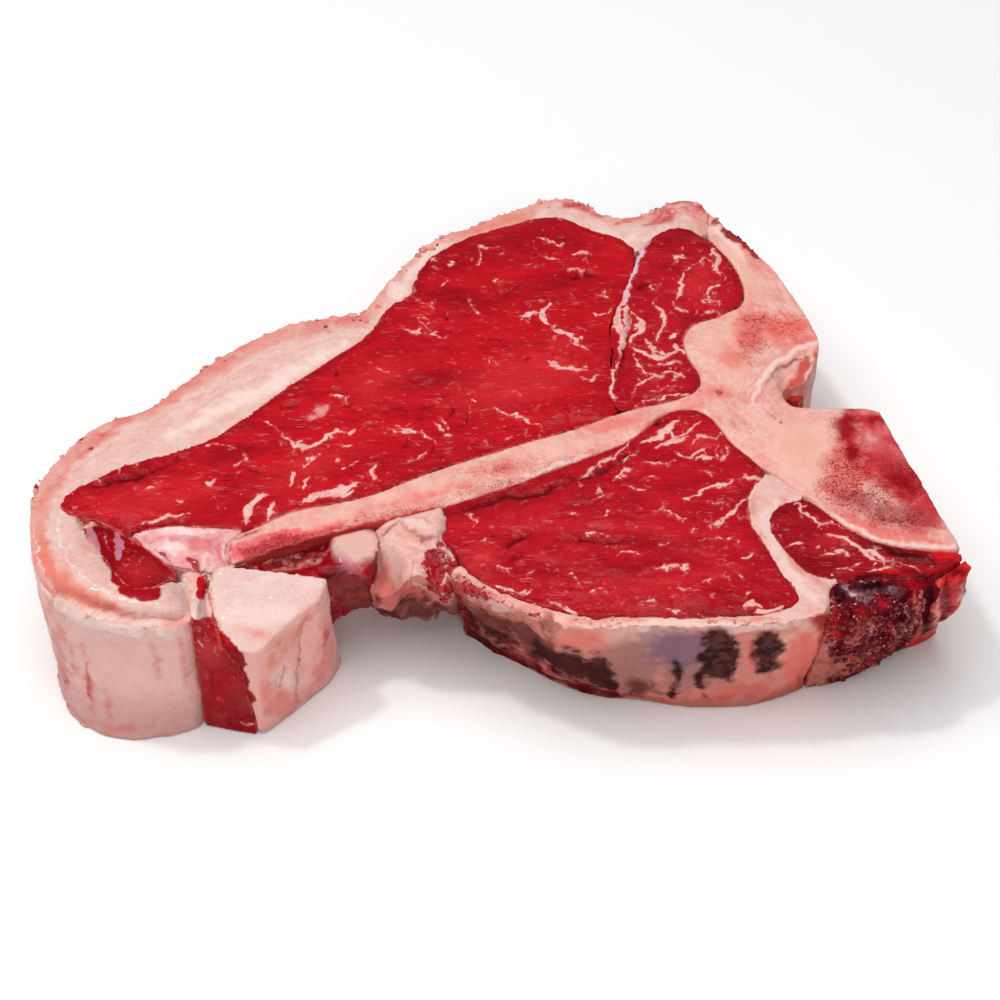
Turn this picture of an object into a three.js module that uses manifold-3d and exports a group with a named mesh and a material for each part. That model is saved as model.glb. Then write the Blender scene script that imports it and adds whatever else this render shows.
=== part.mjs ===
// A raw t-bone steak, lying on its flat underside. Millimetres, +Z up.
//
// The origin is on the resting plane, under the middle of the steak. +X runs from the tail to the
// backbone and +Y from the tenderloin to the strip loin. Every piece is a column that runs through
// the whole thickness of the cut, as the layers of a sawn steak do. The columns lean with the steak's
// sides, and their tops follow one shared relief.

import * as THREE from "three";
import { mergeVertices } from "three/addons/utils/BufferGeometryUtils.js";
import Module from "manifold-3d";

const wasm = await Module();
wasm.setup();

// ---- Driving dimensions ------------------------------------------------------------------------

const THICKNESS = 36;
const GAP = 0.3;

// Corners closer together than this are one corner.
const SAME_PLACE = 1e-4;

// Spacing of the points along an outline, and height of one band of a side wall.
const OUTLINE_STEP = 4.5;
const BAND_HEIGHT = 12;
const BANDS_BELOW = 1;
const BANDS_ABOVE = 2;

// Plate that carries the relief of the top face: its middle, its reach and its cell size.
const PLATE_CENTRE = [0, 38];
const PLATE_SIZE = [240, 186];
const PLATE_CELL = 7;

// How far the top face is rounded down at the outer edge, and over what width.
const EDGE_DROP = 1.6;
const EDGE_WIDTH = 7;

// Mounds and hollows of the top face: place, height and reach.
const MOUNDS = [
  { at: [5, 60], height: 1.4, reach: 34 },
  { at: [-62, 12], height: -0.9, reach: 20 },
  { at: [-10, 22], height: -0.8, reach: 14 },
  { at: [34, -8], height: 1.6, reach: 22 },
  { at: [48, 85], height: 0.8, reach: 12 },
  { at: [-99, -34], height: 5.2, reach: 13 },
  { at: [-78, -40], height: 2.6, reach: 10 },
  { at: [-108, -10], height: 1.8, reach: 12 },
  { at: [-82, -18], height: -1.6, reach: 8 },
  { at: [88, -8], height: -1.0, reach: 16 },
  { at: [96, 18], height: 1.0, reach: 18 },
];

// A side leans more the lower it gets: the share of a shift grows by this power of the depth.
const LEAN_CURVE = 1.2;

// How far the base of a side stands from its top rim: place, shift at the base and reach.
const SIDE_LEANS = [
  { at: [4, -33], shift: [2, 15], reach: 22 },
  { at: [46, -41], shift: [0, 4], reach: 18 },
  { at: [92, -31], shift: [-3, 13], reach: 19 },
  { at: [113, -18], shift: [-2, 5], reach: 12 },
  { at: [-26, -20], shift: [3, 13], reach: 13 },
  { at: [-97, -38], shift: [0, -5], reach: 12 },
  { at: [-111, -22], shift: [1.5, -1], reach: 14 },
  { at: [-108, 18], shift: [4, -2], reach: 16 },
  { at: [-66, 62], shift: [2, -3], reach: 20 },
  { at: [14, 122], shift: [0, -4], reach: 26 },
  { at: [80, 76], shift: [-3, -2], reach: 16 },
];

// ---- Outlines of the top rim, as stretches of curve that meet at corners ---------------------

const WHOLE = [
  [
    [-71, -41], [-75, -42.5], [-85, -43], [-95, -40], [-103, -35], [-109, -28], [-112, -18], [-114, -8],
    [-114, 4], [-110, 16], [-101, 29], [-90, 34], [-85, 40], [-70, 58], [-53, 69], [-37, 71],
  ],
  [
    [-37, 71], [-32, 82], [-20, 102], [-8, 110], [9, 120], [17, 123], [24, 120], [29, 114], [38, 114],
    [49, 122], [57, 121], [63, 110], [75, 89], [81, 72], [84, 60], [82, 52], [79, 45],
  ],
  [[79, 45], [77, 40], [78, 36], [74, 34]],
  [[74, 34], [96, 33]],
  [[96, 33], [111, -18]],
  [
    [111, -18], [113, -22], [108, -27], [101, -31], [94, -36], [86, -39], [76, -39], [62, -41], [46, -42],
    [32, -42], [22, -43], [12, -41], [4, -37], [-5, -32], [-11, -27], [-17, -25], [-25, -27], [-31, -24],
    [-36, -22], [-41, -24],
  ],
  [[-41, -24], [-41, -31], [-47, -36], [-57, -45]],
  [[-57, -45], [-71, -41]],
];

const BONE = [
  [
    [-65, -21], [-66, -15], [-63, -11], [-49, -3], [-33, 1], [-15, 11], [4, 19], [25, 28], [38, 34],
    [49, 38], [52, 45], [49, 53], [48, 60], [51, 66], [58, 70], [65, 75], [65, 86], [62, 96], [58, 104],
    [58, 120],
  ],
  [[58, 120], [68, 124], [90, 100], [92, 60], [84, 45]],
  [[84, 45], [74, 44]],
  [[74, 44], [72, 39], [74, 34]],
  [[74, 34], [110, 40]],
  [[110, 40], [124, -19]],
  [
    [124, -19], [111, -17.6], [97, -16], [89, -13], [83, -8], [77, -1], [71, 5], [66, 12], [59, 18],
    [56, 24], [53, 30], [47, 33], [41, 31], [35, 23], [26, 17], [10, 8], [-15, -3], [-41, -12],
    [-65, -21],
  ],
];

const STRIP_LOIN = [
  [
    [-37, 59], [-33, 65], [-30, 74], [-23, 78], [-23, 86], [-18, 96], [-7, 105], [5, 110], [15, 114],
    [25, 107], [34, 103], [37, 96], [33, 79], [29, 66], [29, 52], [27, 41], [29, 32],
  ],
  [
    [29, 32], [32, 29], [12, 20], [-14, 8], [-33, -2], [-48, -6], [-60, -9], [-70, -9], [-81, -8],
    [-89, -11], [-98, -8], [-105, -6], [-106, 1], [-93, 12], [-72, 23], [-55, 41], [-37, 59],
  ],
];

const MULTIFIDUS = [
  [
    [26, 31], [25, 46], [27, 62], [31, 79], [38, 97], [44, 106], [52, 109], [61, 103], [68, 86], [67, 72],
    [56, 66], [51, 60], [54, 46], [51, 35], [38, 31], [26, 31],
  ],
];

const TENDERLOIN = [
  [
    [-13, -1], [0, 5], [9, 10], [19, 17], [27, 21], [35, 27], [42, 34], [50, 34], [57, 28], [60, 20],
    [67, 12],
  ],
  [[67, 12], [61, 3], [60, -7], [64, -18], [68, -28], [71, -34]],
  [
    [71, -34], [61, -38], [46, -39], [32, -39], [21, -39.5], [12, -37], [3, -32.5], [-5, -28], [-9, -22],
    [-15, -11], [-13, -1],
  ],
];

const SIDE_MUSCLE = [
  [[65, -6], [68, -2], [74, 1], [81, -2], [87, -9], [95, -13], [104, -15], [113, -15]],
  [[113, -15], [112, -18], [104, -25], [93, -26], [80, -27], [73, -25], [66, -13], [65, -6]],
];

const TAIL_LEAN = [
  [
    [-100, -12], [-97, -9.5], [-89, -13], [-83, -18], [-77, -24], [-79, -30], [-84, -34], [-89, -30],
    [-95, -20], [-100, -12],
  ],
];

const GRISTLE = [
  [[-89, -12], [-84, -6], [-76, -5], [-60, -7]],
  [[-60, -7], [-61, -18], [-64, -23]],
  [[-64, -23], [-71, -22], [-79, -20], [-89, -12]],
];

const TAIL_END = [
  [[-72, -38], [-67, -23]],
  [[-67, -23], [-54, -25], [-41, -27]],
  [[-41, -27], [-38, -27], [-38, -33]],
  [[-38, -33], [-57, -52]],
  [[-57, -52], [-72, -38]],
];

const UNDER_BONE_LEAN = [
  [[-63, -18], [-48, -11], [-33, -5]],
  [[-33, -5], [-30, -14], [-33, -28]],
  [[-33, -28], [-40, -26], [-54, -23.5], [-66, -21.5]],
  [[-66, -21.5], [-63, -18]],
];

const KIDNEY_FAT = [
  [
    [-36, -8], [-24, -3], [-13, 1], [-11, -6], [-14, -12], [-10, -20], [-15, -30], [-24, -34], [-33, -28],
    [-31, -15], [-36, -8],
  ],
];

const CORNER_LEAN = [
  [[77, -29], [86, -26], [95, -25.5], [104, -25]],
  [[104, -25], [106, -30], [96, -42], [77, -46]],
  [[77, -46], [77, -29]],
];

const CORNER_FLAP = [
  [[104.5, -25.5], [108, -21], [112, -17.5]],
  [[112, -17.5], [120, -20], [112, -34], [104, -32]],
  [[104, -32], [104.5, -25.5]],
];

const CANAL_SCRAP = [
  [[73, 45], [84, 45]],
  [[84, 45], [84, 34], [74, 33]],
  [[74, 33], [71, 39], [73, 45]],
];

// Where the fat belongs to the tenderloin side and not to the cap over the strip loin.
const TENDERLOIN_SIDE = [
  [[-37, -60], [130, -60]],
  [[130, -60], [130, -10], [60, 26], [40, 33]],
  [[40, 33], [-37, -10]],
  [[-37, -10], [-37, -60]],
];

// The lean layer in the tail, seen from the front: a thin edge above that widens downwards. It runs
// from the front wall to the hollow behind the tail's end.
const TAIL_LAYER = [
  [[-71.8, 50], [-70.8, -9]],
  [[-70.8, -9], [-58.6, -9]],
  [[-58.6, -9], [-58.6, 4], [-60, 14], [-60.4, 21], [-64, 27], [-68, 32.5], [-70.4, 38], [-70.4, 50]],
  [[-70.4, 50], [-71.8, 50]],
];
const TAIL_LAYER_FRONT = -60;
const TAIL_LAYER_BACK = -24;

// The sloping cut face of the tail's end, through three of its corners.
const TAIL_END_FACE = new THREE.Plane().setFromCoplanarPoints(
  new THREE.Vector3(-67, -23, 38),
  new THREE.Vector3(-57, -44, 28.5),
  new THREE.Vector3(-41, -28, 37),
);

// ---- Flat geometry ------------------------------------------------------------------------------

/** Points along the stretches of an outline, spaced evenly, anticlockwise. */
function rim(stretches, step = OUTLINE_STEP) {
  const points = [];
  for (const stretch of stretches) {
    const curve = new THREE.SplineCurve(stretch.map(([x, y]) => new THREE.Vector2(x, y)));
    const count = Math.max(1, Math.round(curve.getLength() / step));
    points.push(...curve.getSpacedPoints(count).slice(0, -1));
  }
  return THREE.ShapeUtils.isClockWise(points) ? points.reverse() : points;
}

/** The same rim moved outwards by a margin. */
function grown(points, margin) {
  return points.map((point, index) => {
    const before = points.at(index - 1);
    const after = points[(index + 1) % points.length];
    const along = after.clone().sub(before).normalize();
    return point.clone().add(new THREE.Vector2(along.y, -along.x).multiplyScalar(margin));
  });
}

/** Distance from a place to a closed rim. */
function distanceToRim(x, y, points) {
  let nearest = Infinity;
  points.forEach((start, index) => {
    const end = points[(index + 1) % points.length];
    const edge = end.clone().sub(start);
    const reach = new THREE.Vector2(x, y).sub(start);
    const share = THREE.MathUtils.clamp(reach.dot(edge) / edge.lengthSq(), 0, 1);
    nearest = Math.min(nearest, reach.sub(edge.multiplyScalar(share)).length());
  });
  return nearest;
}

/** Weight that fades from 1 at a place to 0 away from it. */
function fade(x, y, { at, reach }) {
  const distance = Math.hypot(x - at[0], y - at[1]);
  return Math.exp(-0.5 * (distance / reach) ** 2);
}

/** Height of the top face over a place. */
function topHeight(x, y) {
  const mounds = MOUNDS.reduce((sum, mound) => sum + mound.height * fade(x, y, mound), 0);
  const inward = THREE.MathUtils.clamp(distanceToRim(x, y, WHOLE_RIM) / EDGE_WIDTH, 0, 1);
  return THICKNESS + mounds - EDGE_DROP * (1 - inward) ** 2;
}

/** Height of the sloping cut face of the tail's end over a place. */
function tailEndHeight(x, y) {
  const { normal, constant } = TAIL_END_FACE;
  return -(constant + normal.x * x + normal.y * y) / normal.z;
}

/** Sideways shift of a point at a height, because the steak's sides lean. */
function sideLean(x, y, z) {
  const depth = THREE.MathUtils.clamp(1 - z / THICKNESS, 0, 1) ** LEAN_CURVE;
  return SIDE_LEANS.reduce(
    ([dx, dy], lean) => {
      const weight = depth * fade(x, y, lean);
      return [dx + lean.shift[0] * weight, dy + lean.shift[1] * weight];
    },
    [0, 0],
  );
}

// ---- Solids -------------------------------------------------------------------------------------

/** A closed three.js geometry as a solid that can be joined and cut. */
function toSolid(geometry) {
  geometry.deleteAttribute("normal");
  geometry.deleteAttribute("uv");
  const merged = mergeVertices(geometry, SAME_PLACE);
  const mesh = new wasm.Mesh({
    numProp: 3,
    vertProperties: Float32Array.from(merged.attributes.position.array),
    triVerts: Uint32Array.from(merged.index.array),
  });
  mesh.merge();
  return new wasm.Manifold(mesh);
}

/** A leaning column over a rim, taller than the steak at both ends. */
function column(points) {
  const bands = BANDS_BELOW + THICKNESS / BAND_HEIGHT + BANDS_ABOVE;
  const geometry = new THREE.ExtrudeGeometry(new THREE.Shape(points), {
    depth: bands * BAND_HEIGHT,
    steps: bands,
    bevelEnabled: false,
  });
  geometry.translate(0, 0, -BANDS_BELOW * BAND_HEIGHT);
  const place = geometry.attributes.position;
  for (let i = 0; i < place.count; i += 1) {
    const [x, y, z] = [place.getX(i), place.getY(i), place.getZ(i)];
    const [dx, dy] = sideLean(x, y, z);
    place.setXY(i, x + dx, y + dy);
  }
  return toSolid(geometry);
}

/** A plate from a flat floor up to a height function. */
function plate(height, floor) {
  const [cellsX, cellsY] = PLATE_SIZE.map((size) => Math.round(size / PLATE_CELL));
  const geometry = new THREE.BoxGeometry(...PLATE_SIZE, THICKNESS - floor, cellsX, cellsY, 1);
  geometry.translate(...PLATE_CENTRE, (THICKNESS + floor) / 2);
  const place = geometry.attributes.position;
  for (let i = 0; i < place.count; i += 1) {
    if (place.getZ(i) > floor) {
      place.setZ(i, height(place.getX(i), place.getY(i)));
    }
  }
  return toSolid(geometry);
}

/** The layer in the tail as a bar along Y, with a margin round it. */
function tailLayer(margin) {
  const shape = new THREE.Shape(grown(rim(TAIL_LAYER), margin));
  const length = TAIL_LAYER_BACK - TAIL_LAYER_FRONT + margin;
  const geometry = new THREE.ExtrudeGeometry(shape, { depth: length, bevelEnabled: false });
  geometry.rotateX(Math.PI / 2);
  geometry.translate(0, TAIL_LAYER_FRONT + length, 0);
  return toSolid(geometry);
}

/** The largest single body of a solid, without scraps. */
function largestBody(solid) {
  return solid.decompose().reduce((best, body) => (body.volume() > best.volume() ? body : best));
}

const WHOLE_RIM = rim(WHOLE);
const WHOLE_COLUMN = column(WHOLE_RIM);

// ---- Finishes -----------------------------------------------------------------------------------

const RAW_LEAN = { color: 0xa8182a, roughness: 0.38, metalness: 0 };
const DARK_LEAN = { color: 0x7c1426, roughness: 0.32, metalness: 0 };
const FAT = { color: 0xefcfc2, roughness: 0.5, metalness: 0 };
const SAWN_BONE = { color: 0xe2b9a8, roughness: 0.55, metalness: 0 };
const CARTILAGE = { color: 0xe3aaa5, roughness: 0.4, metalness: 0 };

// ---- Pieces -------------------------------------------------------------------------------------

// A piece keeps what the pieces before it in this list leave free. `rise` lifts its top face over
// the shared relief, as bone stands proud of the lean beside it, and `floor` is how high the bits
// that hang in the bay under the bone end above the resting plane.
const PIECES = [
  { name: "bone", finish: SAWN_BONE, outline: BONE, rise: 0.6 },
  { name: "strip_loin", finish: RAW_LEAN, outline: STRIP_LOIN, rise: 0.2 },
  { name: "multifidus", finish: RAW_LEAN, outline: MULTIFIDUS, rise: 0.1 },
  { name: "tenderloin", finish: RAW_LEAN, outline: TENDERLOIN, rise: 0.2 },
  { name: "side_muscle", finish: DARK_LEAN, outline: SIDE_MUSCLE, rise: -0.2 },
  { name: "tail_lean", finish: DARK_LEAN, outline: TAIL_LEAN, rise: -0.3 },
  { name: "gristle", finish: CARTILAGE, outline: GRISTLE, rise: 0.3 },
  { name: "tail_layer", finish: RAW_LEAN, bar: tailLayer, rise: 0 },
  { name: "tail_end", finish: FAT, outline: TAIL_END, rise: 0, height: tailEndHeight },
  { name: "under_bone_lean", finish: DARK_LEAN, outline: UNDER_BONE_LEAN, rise: -2.5, floor: 14 },
  { name: "kidney_fat", finish: FAT, outline: KIDNEY_FAT, rise: 0.4, floor: 11 },
  { name: "corner_flap", finish: FAT, outline: CORNER_FLAP, rise: -0.6 },
  { name: "corner_lean", finish: DARK_LEAN, outline: CORNER_LEAN, rise: -0.8 },
  { name: "canal_scrap", finish: DARK_LEAN, outline: CANAL_SCRAP, rise: -4 },
  { name: "tenderloin_fat", finish: FAT, outline: TENDERLOIN_SIDE, rise: 0 },
  { name: "fat_cap", finish: FAT, outline: WHOLE, rise: 0 },
];

/** The region of a piece with a margin round it, before its neighbours are taken away. */
function region(piece, margin) {
  return piece.bar ? piece.bar(margin) : column(grown(rim(piece.outline), margin));
}

/** Every piece as a solid of its own, each cut clear of those before it. */
function carve() {
  const solids = [];
  let taken = null;
  for (const piece of PIECES) {
    const height = piece.height ?? topHeight;
    const layer = plate((x, y) => height(x, y) + piece.rise, piece.floor ?? 0);
    let solid = region(piece, 0).intersect(WHOLE_COLUMN).intersect(layer);
    if (taken) {
      solid = solid.subtract(taken);
    }
    solids.push(largestBody(solid));
    const room = region(piece, GAP);
    taken = taken ? taken.add(room) : room;
  }
  return solids;
}

/** A solid as a named mesh. */
function toMesh(solid, { name, finish }) {
  const { vertProperties, triVerts } = solid.getMesh();
  const geometry = new THREE.BufferGeometry();
  geometry.setAttribute("position", new THREE.BufferAttribute(vertProperties, 3));
  geometry.setIndex(new THREE.BufferAttribute(triVerts, 1));
  geometry.computeVertexNormals();
  const mesh = new THREE.Mesh(geometry, new THREE.MeshStandardMaterial(finish));
  mesh.name = name;
  return mesh;
}

const steak = new THREE.Group();
carve().forEach((solid, index) => steak.add(toMesh(solid, PIECES[index])));
const middle = new THREE.Box3().setFromObject(steak).getCenter(new THREE.Vector3());
steak.position.set(-middle.x, -middle.y, 0);

export default steak;
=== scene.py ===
"""A raw t-bone steak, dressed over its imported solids.

Each column of muscle, fat and bone is copied from the frame, meshed finely, shaped as cut meat is and
coloured by marks that lie on its surface. Lengths are millimetres until a mesh is handed to Blender.
"""

import logging
import math
from dataclasses import dataclass, field
from enum import Enum
from typing import Sequence

import bmesh
import bpy
import numpy as np
from mathutils.bvhtree import BVHTree
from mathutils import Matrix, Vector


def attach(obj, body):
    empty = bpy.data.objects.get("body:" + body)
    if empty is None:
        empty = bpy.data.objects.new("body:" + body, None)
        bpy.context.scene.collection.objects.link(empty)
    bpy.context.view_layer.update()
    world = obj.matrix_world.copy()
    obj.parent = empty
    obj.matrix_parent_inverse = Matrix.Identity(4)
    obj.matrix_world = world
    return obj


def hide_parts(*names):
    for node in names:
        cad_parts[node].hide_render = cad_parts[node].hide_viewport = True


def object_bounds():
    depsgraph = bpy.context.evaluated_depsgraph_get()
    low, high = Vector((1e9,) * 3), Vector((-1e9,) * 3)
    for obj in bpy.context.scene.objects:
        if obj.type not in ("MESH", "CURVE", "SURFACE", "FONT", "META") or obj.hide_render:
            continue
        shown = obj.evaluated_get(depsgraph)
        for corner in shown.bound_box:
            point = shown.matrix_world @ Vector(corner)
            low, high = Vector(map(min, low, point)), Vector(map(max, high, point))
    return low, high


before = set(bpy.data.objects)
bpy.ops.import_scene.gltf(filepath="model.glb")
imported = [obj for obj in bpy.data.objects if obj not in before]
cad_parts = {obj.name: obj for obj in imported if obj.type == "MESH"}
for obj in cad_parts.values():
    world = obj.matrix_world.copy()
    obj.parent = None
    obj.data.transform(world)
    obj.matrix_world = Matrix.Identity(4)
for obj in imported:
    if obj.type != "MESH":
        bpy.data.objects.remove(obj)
CAD_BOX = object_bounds()

LOG = logging.getLogger("steak")
MM = 0.001
FAR = 6.0  # millimetres past which a mark or a neighbour no longer matters
RIM_FAR = 14.0  # millimetres in from the steak's outer edge that the rim is told apart
GAP_FAR = 1.5  # millimetres past which the gap to a neighbour no longer matters
FACE = 36.0  # height of the cut face over the table, in millimetres
TURN = (0.45, 0.85)  # upward part of a normal where a wall turns into a level face
LEVEL = 0.6  # upward part of a normal past which a face gets smaller faces
LOW_HALF = 20.0  # height up to which a face that looks down is the underside, in millimetres
# The "low" mark paints shade onto the walls, darker towards the table.
FOOT = 12.0  # height over the table that the "low" mark is measured from, in millimetres

# Marks that the underside goes without.
UPPER_ONLY = frozenset({"rind", "white", "thread", "scrap", "fat", "marrow"})

Array = np.ndarray
Marks = dict[str, np.ndarray]
Place = tuple[float, float]
Colour = tuple[int, int, int]
Linear = tuple[float, float, float, float]
Feed = float | Sequence[float] | bpy.types.NodeSocket
Under = tuple[Feed, Feed]

HAIR_FAT: Colour = (232, 138, 132)
PIT_SHADE: Colour = (104, 4, 12)
PALE_DOT_AND_GLINT: Colour = (246, 190, 186)
FAT_SPECK: Colour = (206, 124, 116)
FAT_GLINT: Colour = (250, 228, 220)

# Odd factors that scatter the number of a noise cell, and the bits that are kept of it.
HASH = (374761393, 668265263, 1274126177)
WORD = 0xFFFFFFFF


class Slot(Enum):
    """Material slots."""

    LEAN = "lean"
    DARK_LEAN = "dark_lean"
    FAT = "fat"
    BONE = "bone"
    GRISTLE = "gristle"


class Ground(Enum):
    """What a finish is made of, under its marks."""

    MUSCLE = "muscle"
    FAT = "fat"
    BONE = "bone"


def display(red: int, green: int, blue: int) -> Linear:
    """Turn a colour as a screen shows it into a shader colour.

    Args:
        red, green, blue: parts from 0 to 255.

    Returns:
        The colour in linear light, with alpha.
    """
    parts = [value / 255 for value in (red, green, blue)]
    light = [value / 12.92 if value <= 0.04045 else ((value + 0.055) / 1.055) ** 2.4 for value in parts]
    return (*light, 1.0)


# ---- Camera ------------------------------------------------------------------------------------


@dataclass(frozen=True)
class View:
    """The camera, and where a point of the steak falls in its frame.

    Marks are placed by thousandths of that frame: across from the left, down from the top.
    """

    lens: float = 85.0
    sensor: float = 36.0
    elevation: float = 44.0
    distance: float = 575.9
    aim: tuple[float, float, float] = (0.74, -38.41, 36.0)

    @property
    def sight(self) -> Array:
        """The direction in which the camera looks."""
        angle = math.radians(self.elevation)
        return np.array([0.0, math.cos(angle), -math.sin(angle)])

    @property
    def up(self) -> Array:
        """The direction that is up in the frame."""
        angle = math.radians(self.elevation)
        return np.array([0.0, math.sin(angle), math.cos(angle)])

    @property
    def eye(self) -> Array:
        """Where the camera stands."""
        return np.array(self.aim) - self.sight * self.distance

    @property
    def scale(self) -> float:
        """Thousandths of the frame that a millimetre takes at the aim."""
        return 1000 * self.lens / self.sensor / self.distance

    def places(self, points: Array) -> Array:
        """Find where points fall in the frame.

        Args:
            points: places on the steak, one to a row.

        Returns:
            Across and down, in thousandths of the frame.
        """
        reach = points - self.eye
        depth = reach @ self.sight
        zoom = 1000 * self.lens / self.sensor
        return np.stack([500 + zoom * reach[:, 0] / depth, 500 - zoom * (reach @ self.up) / depth], axis=1)

    def camera(self) -> bpy.types.Object:
        """Make the camera and let the scene use it.

        Returns:
            The camera.
        """
        data = bpy.data.cameras.new("camera")
        data.lens = self.lens
        data.sensor_width = self.sensor
        camera = bpy.data.objects.new("camera", data)
        camera.location = self.eye * MM
        camera.rotation_euler = (math.radians(90 - self.elevation), 0, 0)
        bpy.context.scene.collection.objects.link(camera)
        bpy.context.scene.camera = camera
        return camera


VIEW = View()


# ---- Noise and relief ----------------------------------------------------------------------------


def swell(points: Array, size: float, seed: int = 0) -> Array:
    """Smooth noise over space.

    Args:
        points: places, one to a row.
        size: length of one swell.
        seed: picks another pattern.

    Returns:
        A value from about -1 to 1 for each point.
    """
    spot = points / size + 31.7 * (seed + 1)
    cell = np.floor(spot).astype(np.int64)
    part = spot - cell
    part = part * part * (3 - 2 * part)
    total = np.zeros(len(points))
    for corner in np.ndindex(2, 2, 2):
        key = cell + corner
        mixed = sum(key[:, axis] * factor for axis, factor in enumerate(HASH)) & WORD
        mixed = ((mixed ^ (mixed >> 13)) * HASH[-1]) & WORD
        value = (mixed ^ (mixed >> 16)) / 2**31 - 1
        total += value * np.prod(np.where(corner, part, 1 - part), axis=1)
    return total * 1.5


def swells(points: Array, size: float, seed: int, layers: int = 3) -> Array:
    """Noise in layers, each half as large and half as strong as the one before."""
    return sum(swell(points, size / 2**layer, seed + 7 * layer) / 2**layer for layer in range(layers)) / 1.6


def ramp(value: Array, low: float, high: float) -> Array:
    """Rise smoothly from 0 at one value to 1 at another."""
    share = np.clip((value - low) / (high - low), 0, 1)
    return share * share * (3 - 2 * share)


def triangles(names: Sequence[str], lift: dict[str, float] | None = None) -> tuple[list, list]:
    """Gather the frame's solids in millimetres.

    Args:
        names: the nodes to take.
        lift: how far each node's top stands over the shared relief, which is taken off.

    Returns:
        Vertices and faces for a search tree.
    """
    points: list = []
    faces: list = []
    for name in names:
        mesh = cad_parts[name].data
        co = np.empty(len(mesh.vertices) * 3)
        mesh.vertices.foreach_get("co", co)
        co = co.reshape(-1, 3) / MM
        co[:, 2] -= (lift or {}).get(name, 0.0)
        start = len(points)
        points.extend(co.tolist())
        faces.extend([[start + index for index in face.vertices] for face in mesh.polygons])
    return points, faces


class Relief:
    """The cut face that all columns share, smoothed over the facets of the solids.

    Attributes:
        cell: spacing of the height grid.
        blur: reach of the smoothing.
        wide_blur: reach of the smoothing where no cut face is near.
        margin: how far the grid goes past the steak.
        above: how far over the steak the soundings start.
        trust: share of known cells nearby over which the narrow smoothing takes over.
    """

    cell = 1.0
    blur = 3.0
    wide_blur = 14.0
    margin = 6.0
    above = 10.0
    trust = (0.02, 0.2)

    def __init__(self, rises: dict[str, float]) -> None:
        """Sound the solids from above.

        Args:
            rises: the nodes that make up the face, and how far each stands over it.
        """
        low, high = (np.array(corner) / MM for corner in CAD_BOX)
        self.corner = low[:2] - self.margin
        self.count = np.ceil((high[:2] + self.margin - self.corner) / self.cell).astype(int)
        face = BVHTree.FromPolygons(*triangles(list(rises), rises))
        whole = BVHTree.FromPolygons(*triangles(sorted(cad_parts)))
        height = np.zeros(self.count)
        known = np.zeros(self.count)
        solid = np.zeros(self.count, bool)
        for column in np.ndindex(*self.count):
            x, y = self.corner + np.array(column) * self.cell
            start = (x, y, high[2] + self.above)
            hit = face.ray_cast(start, (0, 0, -1))[0]
            if hit is not None:
                height[column] = hit.z
                known[column] = 1
            solid[column] = whole.ray_cast(start, (0, 0, -1))[0] is not None
        near = self.blurred(known, self.blur)
        far = self.blurred(known, self.wide_blur)
        smooth = self.blurred(height * known, self.blur) / np.maximum(near, 1e-6)
        loose = self.blurred(height * known, self.wide_blur) / np.maximum(far, 1e-6)
        trust = ramp(near, *self.trust)
        self.height = smooth * trust + loose * (1 - trust)
        self.inside = self.depth_in(solid)

    def blurred(self, grid: Array, reach: float) -> Array:
        """Smooth a grid by a bell curve in both directions.

        Args:
            grid: the values.
            reach: width of the bell, in cells.

        Returns:
            The smoothed grid.
        """
        steps = np.arange(-int(3 * reach), int(3 * reach) + 1)
        bell = np.exp(-0.5 * (steps / reach) ** 2)
        bell /= bell.sum()
        for axis in (0, 1):
            grid = np.apply_along_axis(np.convolve, axis, grid, bell, mode="same")
        return grid

    def depth_in(self, solid: Array) -> Array:
        """Measure how far in each cell is.

        Args:
            solid: which cells lie on the steak.

        Returns:
            Each cell's distance from the steak's outer edge, up to RIM_FAR.
        """
        reach = int(RIM_FAR / self.cell) + 1
        depth = np.full(solid.shape, RIM_FAR)
        for step in np.ndindex(2 * reach + 1, 2 * reach + 1):
            shift = np.array(step) - reach
            distance = math.hypot(*shift) * self.cell
            if distance < RIM_FAR:
                moved = np.roll(solid, tuple(shift), axis=(0, 1))
                depth = np.where(moved, depth, np.minimum(depth, distance))
        return depth

    def read(self, grid: Array, points: Array) -> Array:
        """Look a grid up under points, between its cells.

        Args:
            grid: the values.
            points: places on the steak.

        Returns:
            One value for each point.
        """
        spot = (points[:, :2] - self.corner) / self.cell
        spot = np.clip(spot, 0, np.array(self.count) - 1.001)
        cell = spot.astype(int)
        part = spot - cell
        total = np.zeros(len(points))
        for corner in np.ndindex(2, 2):
            weight = np.prod(np.where(corner, part, 1 - part), axis=1)
            total += weight * grid[cell[:, 0] + corner[0], cell[:, 1] + corner[1]]
        return total


# ---- Marks ---------------------------------------------------------------------------------------


class Mark:
    """Something drawn on a piece, placed by the frame."""

    def distance(self, places: Array) -> Array:
        """Distance from places to the mark, below zero inside it."""
        raise NotImplementedError

    def box(self) -> tuple[Array, Array]:
        """The lower and the upper corner of a box around the mark."""
        raise NotImplementedError


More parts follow.
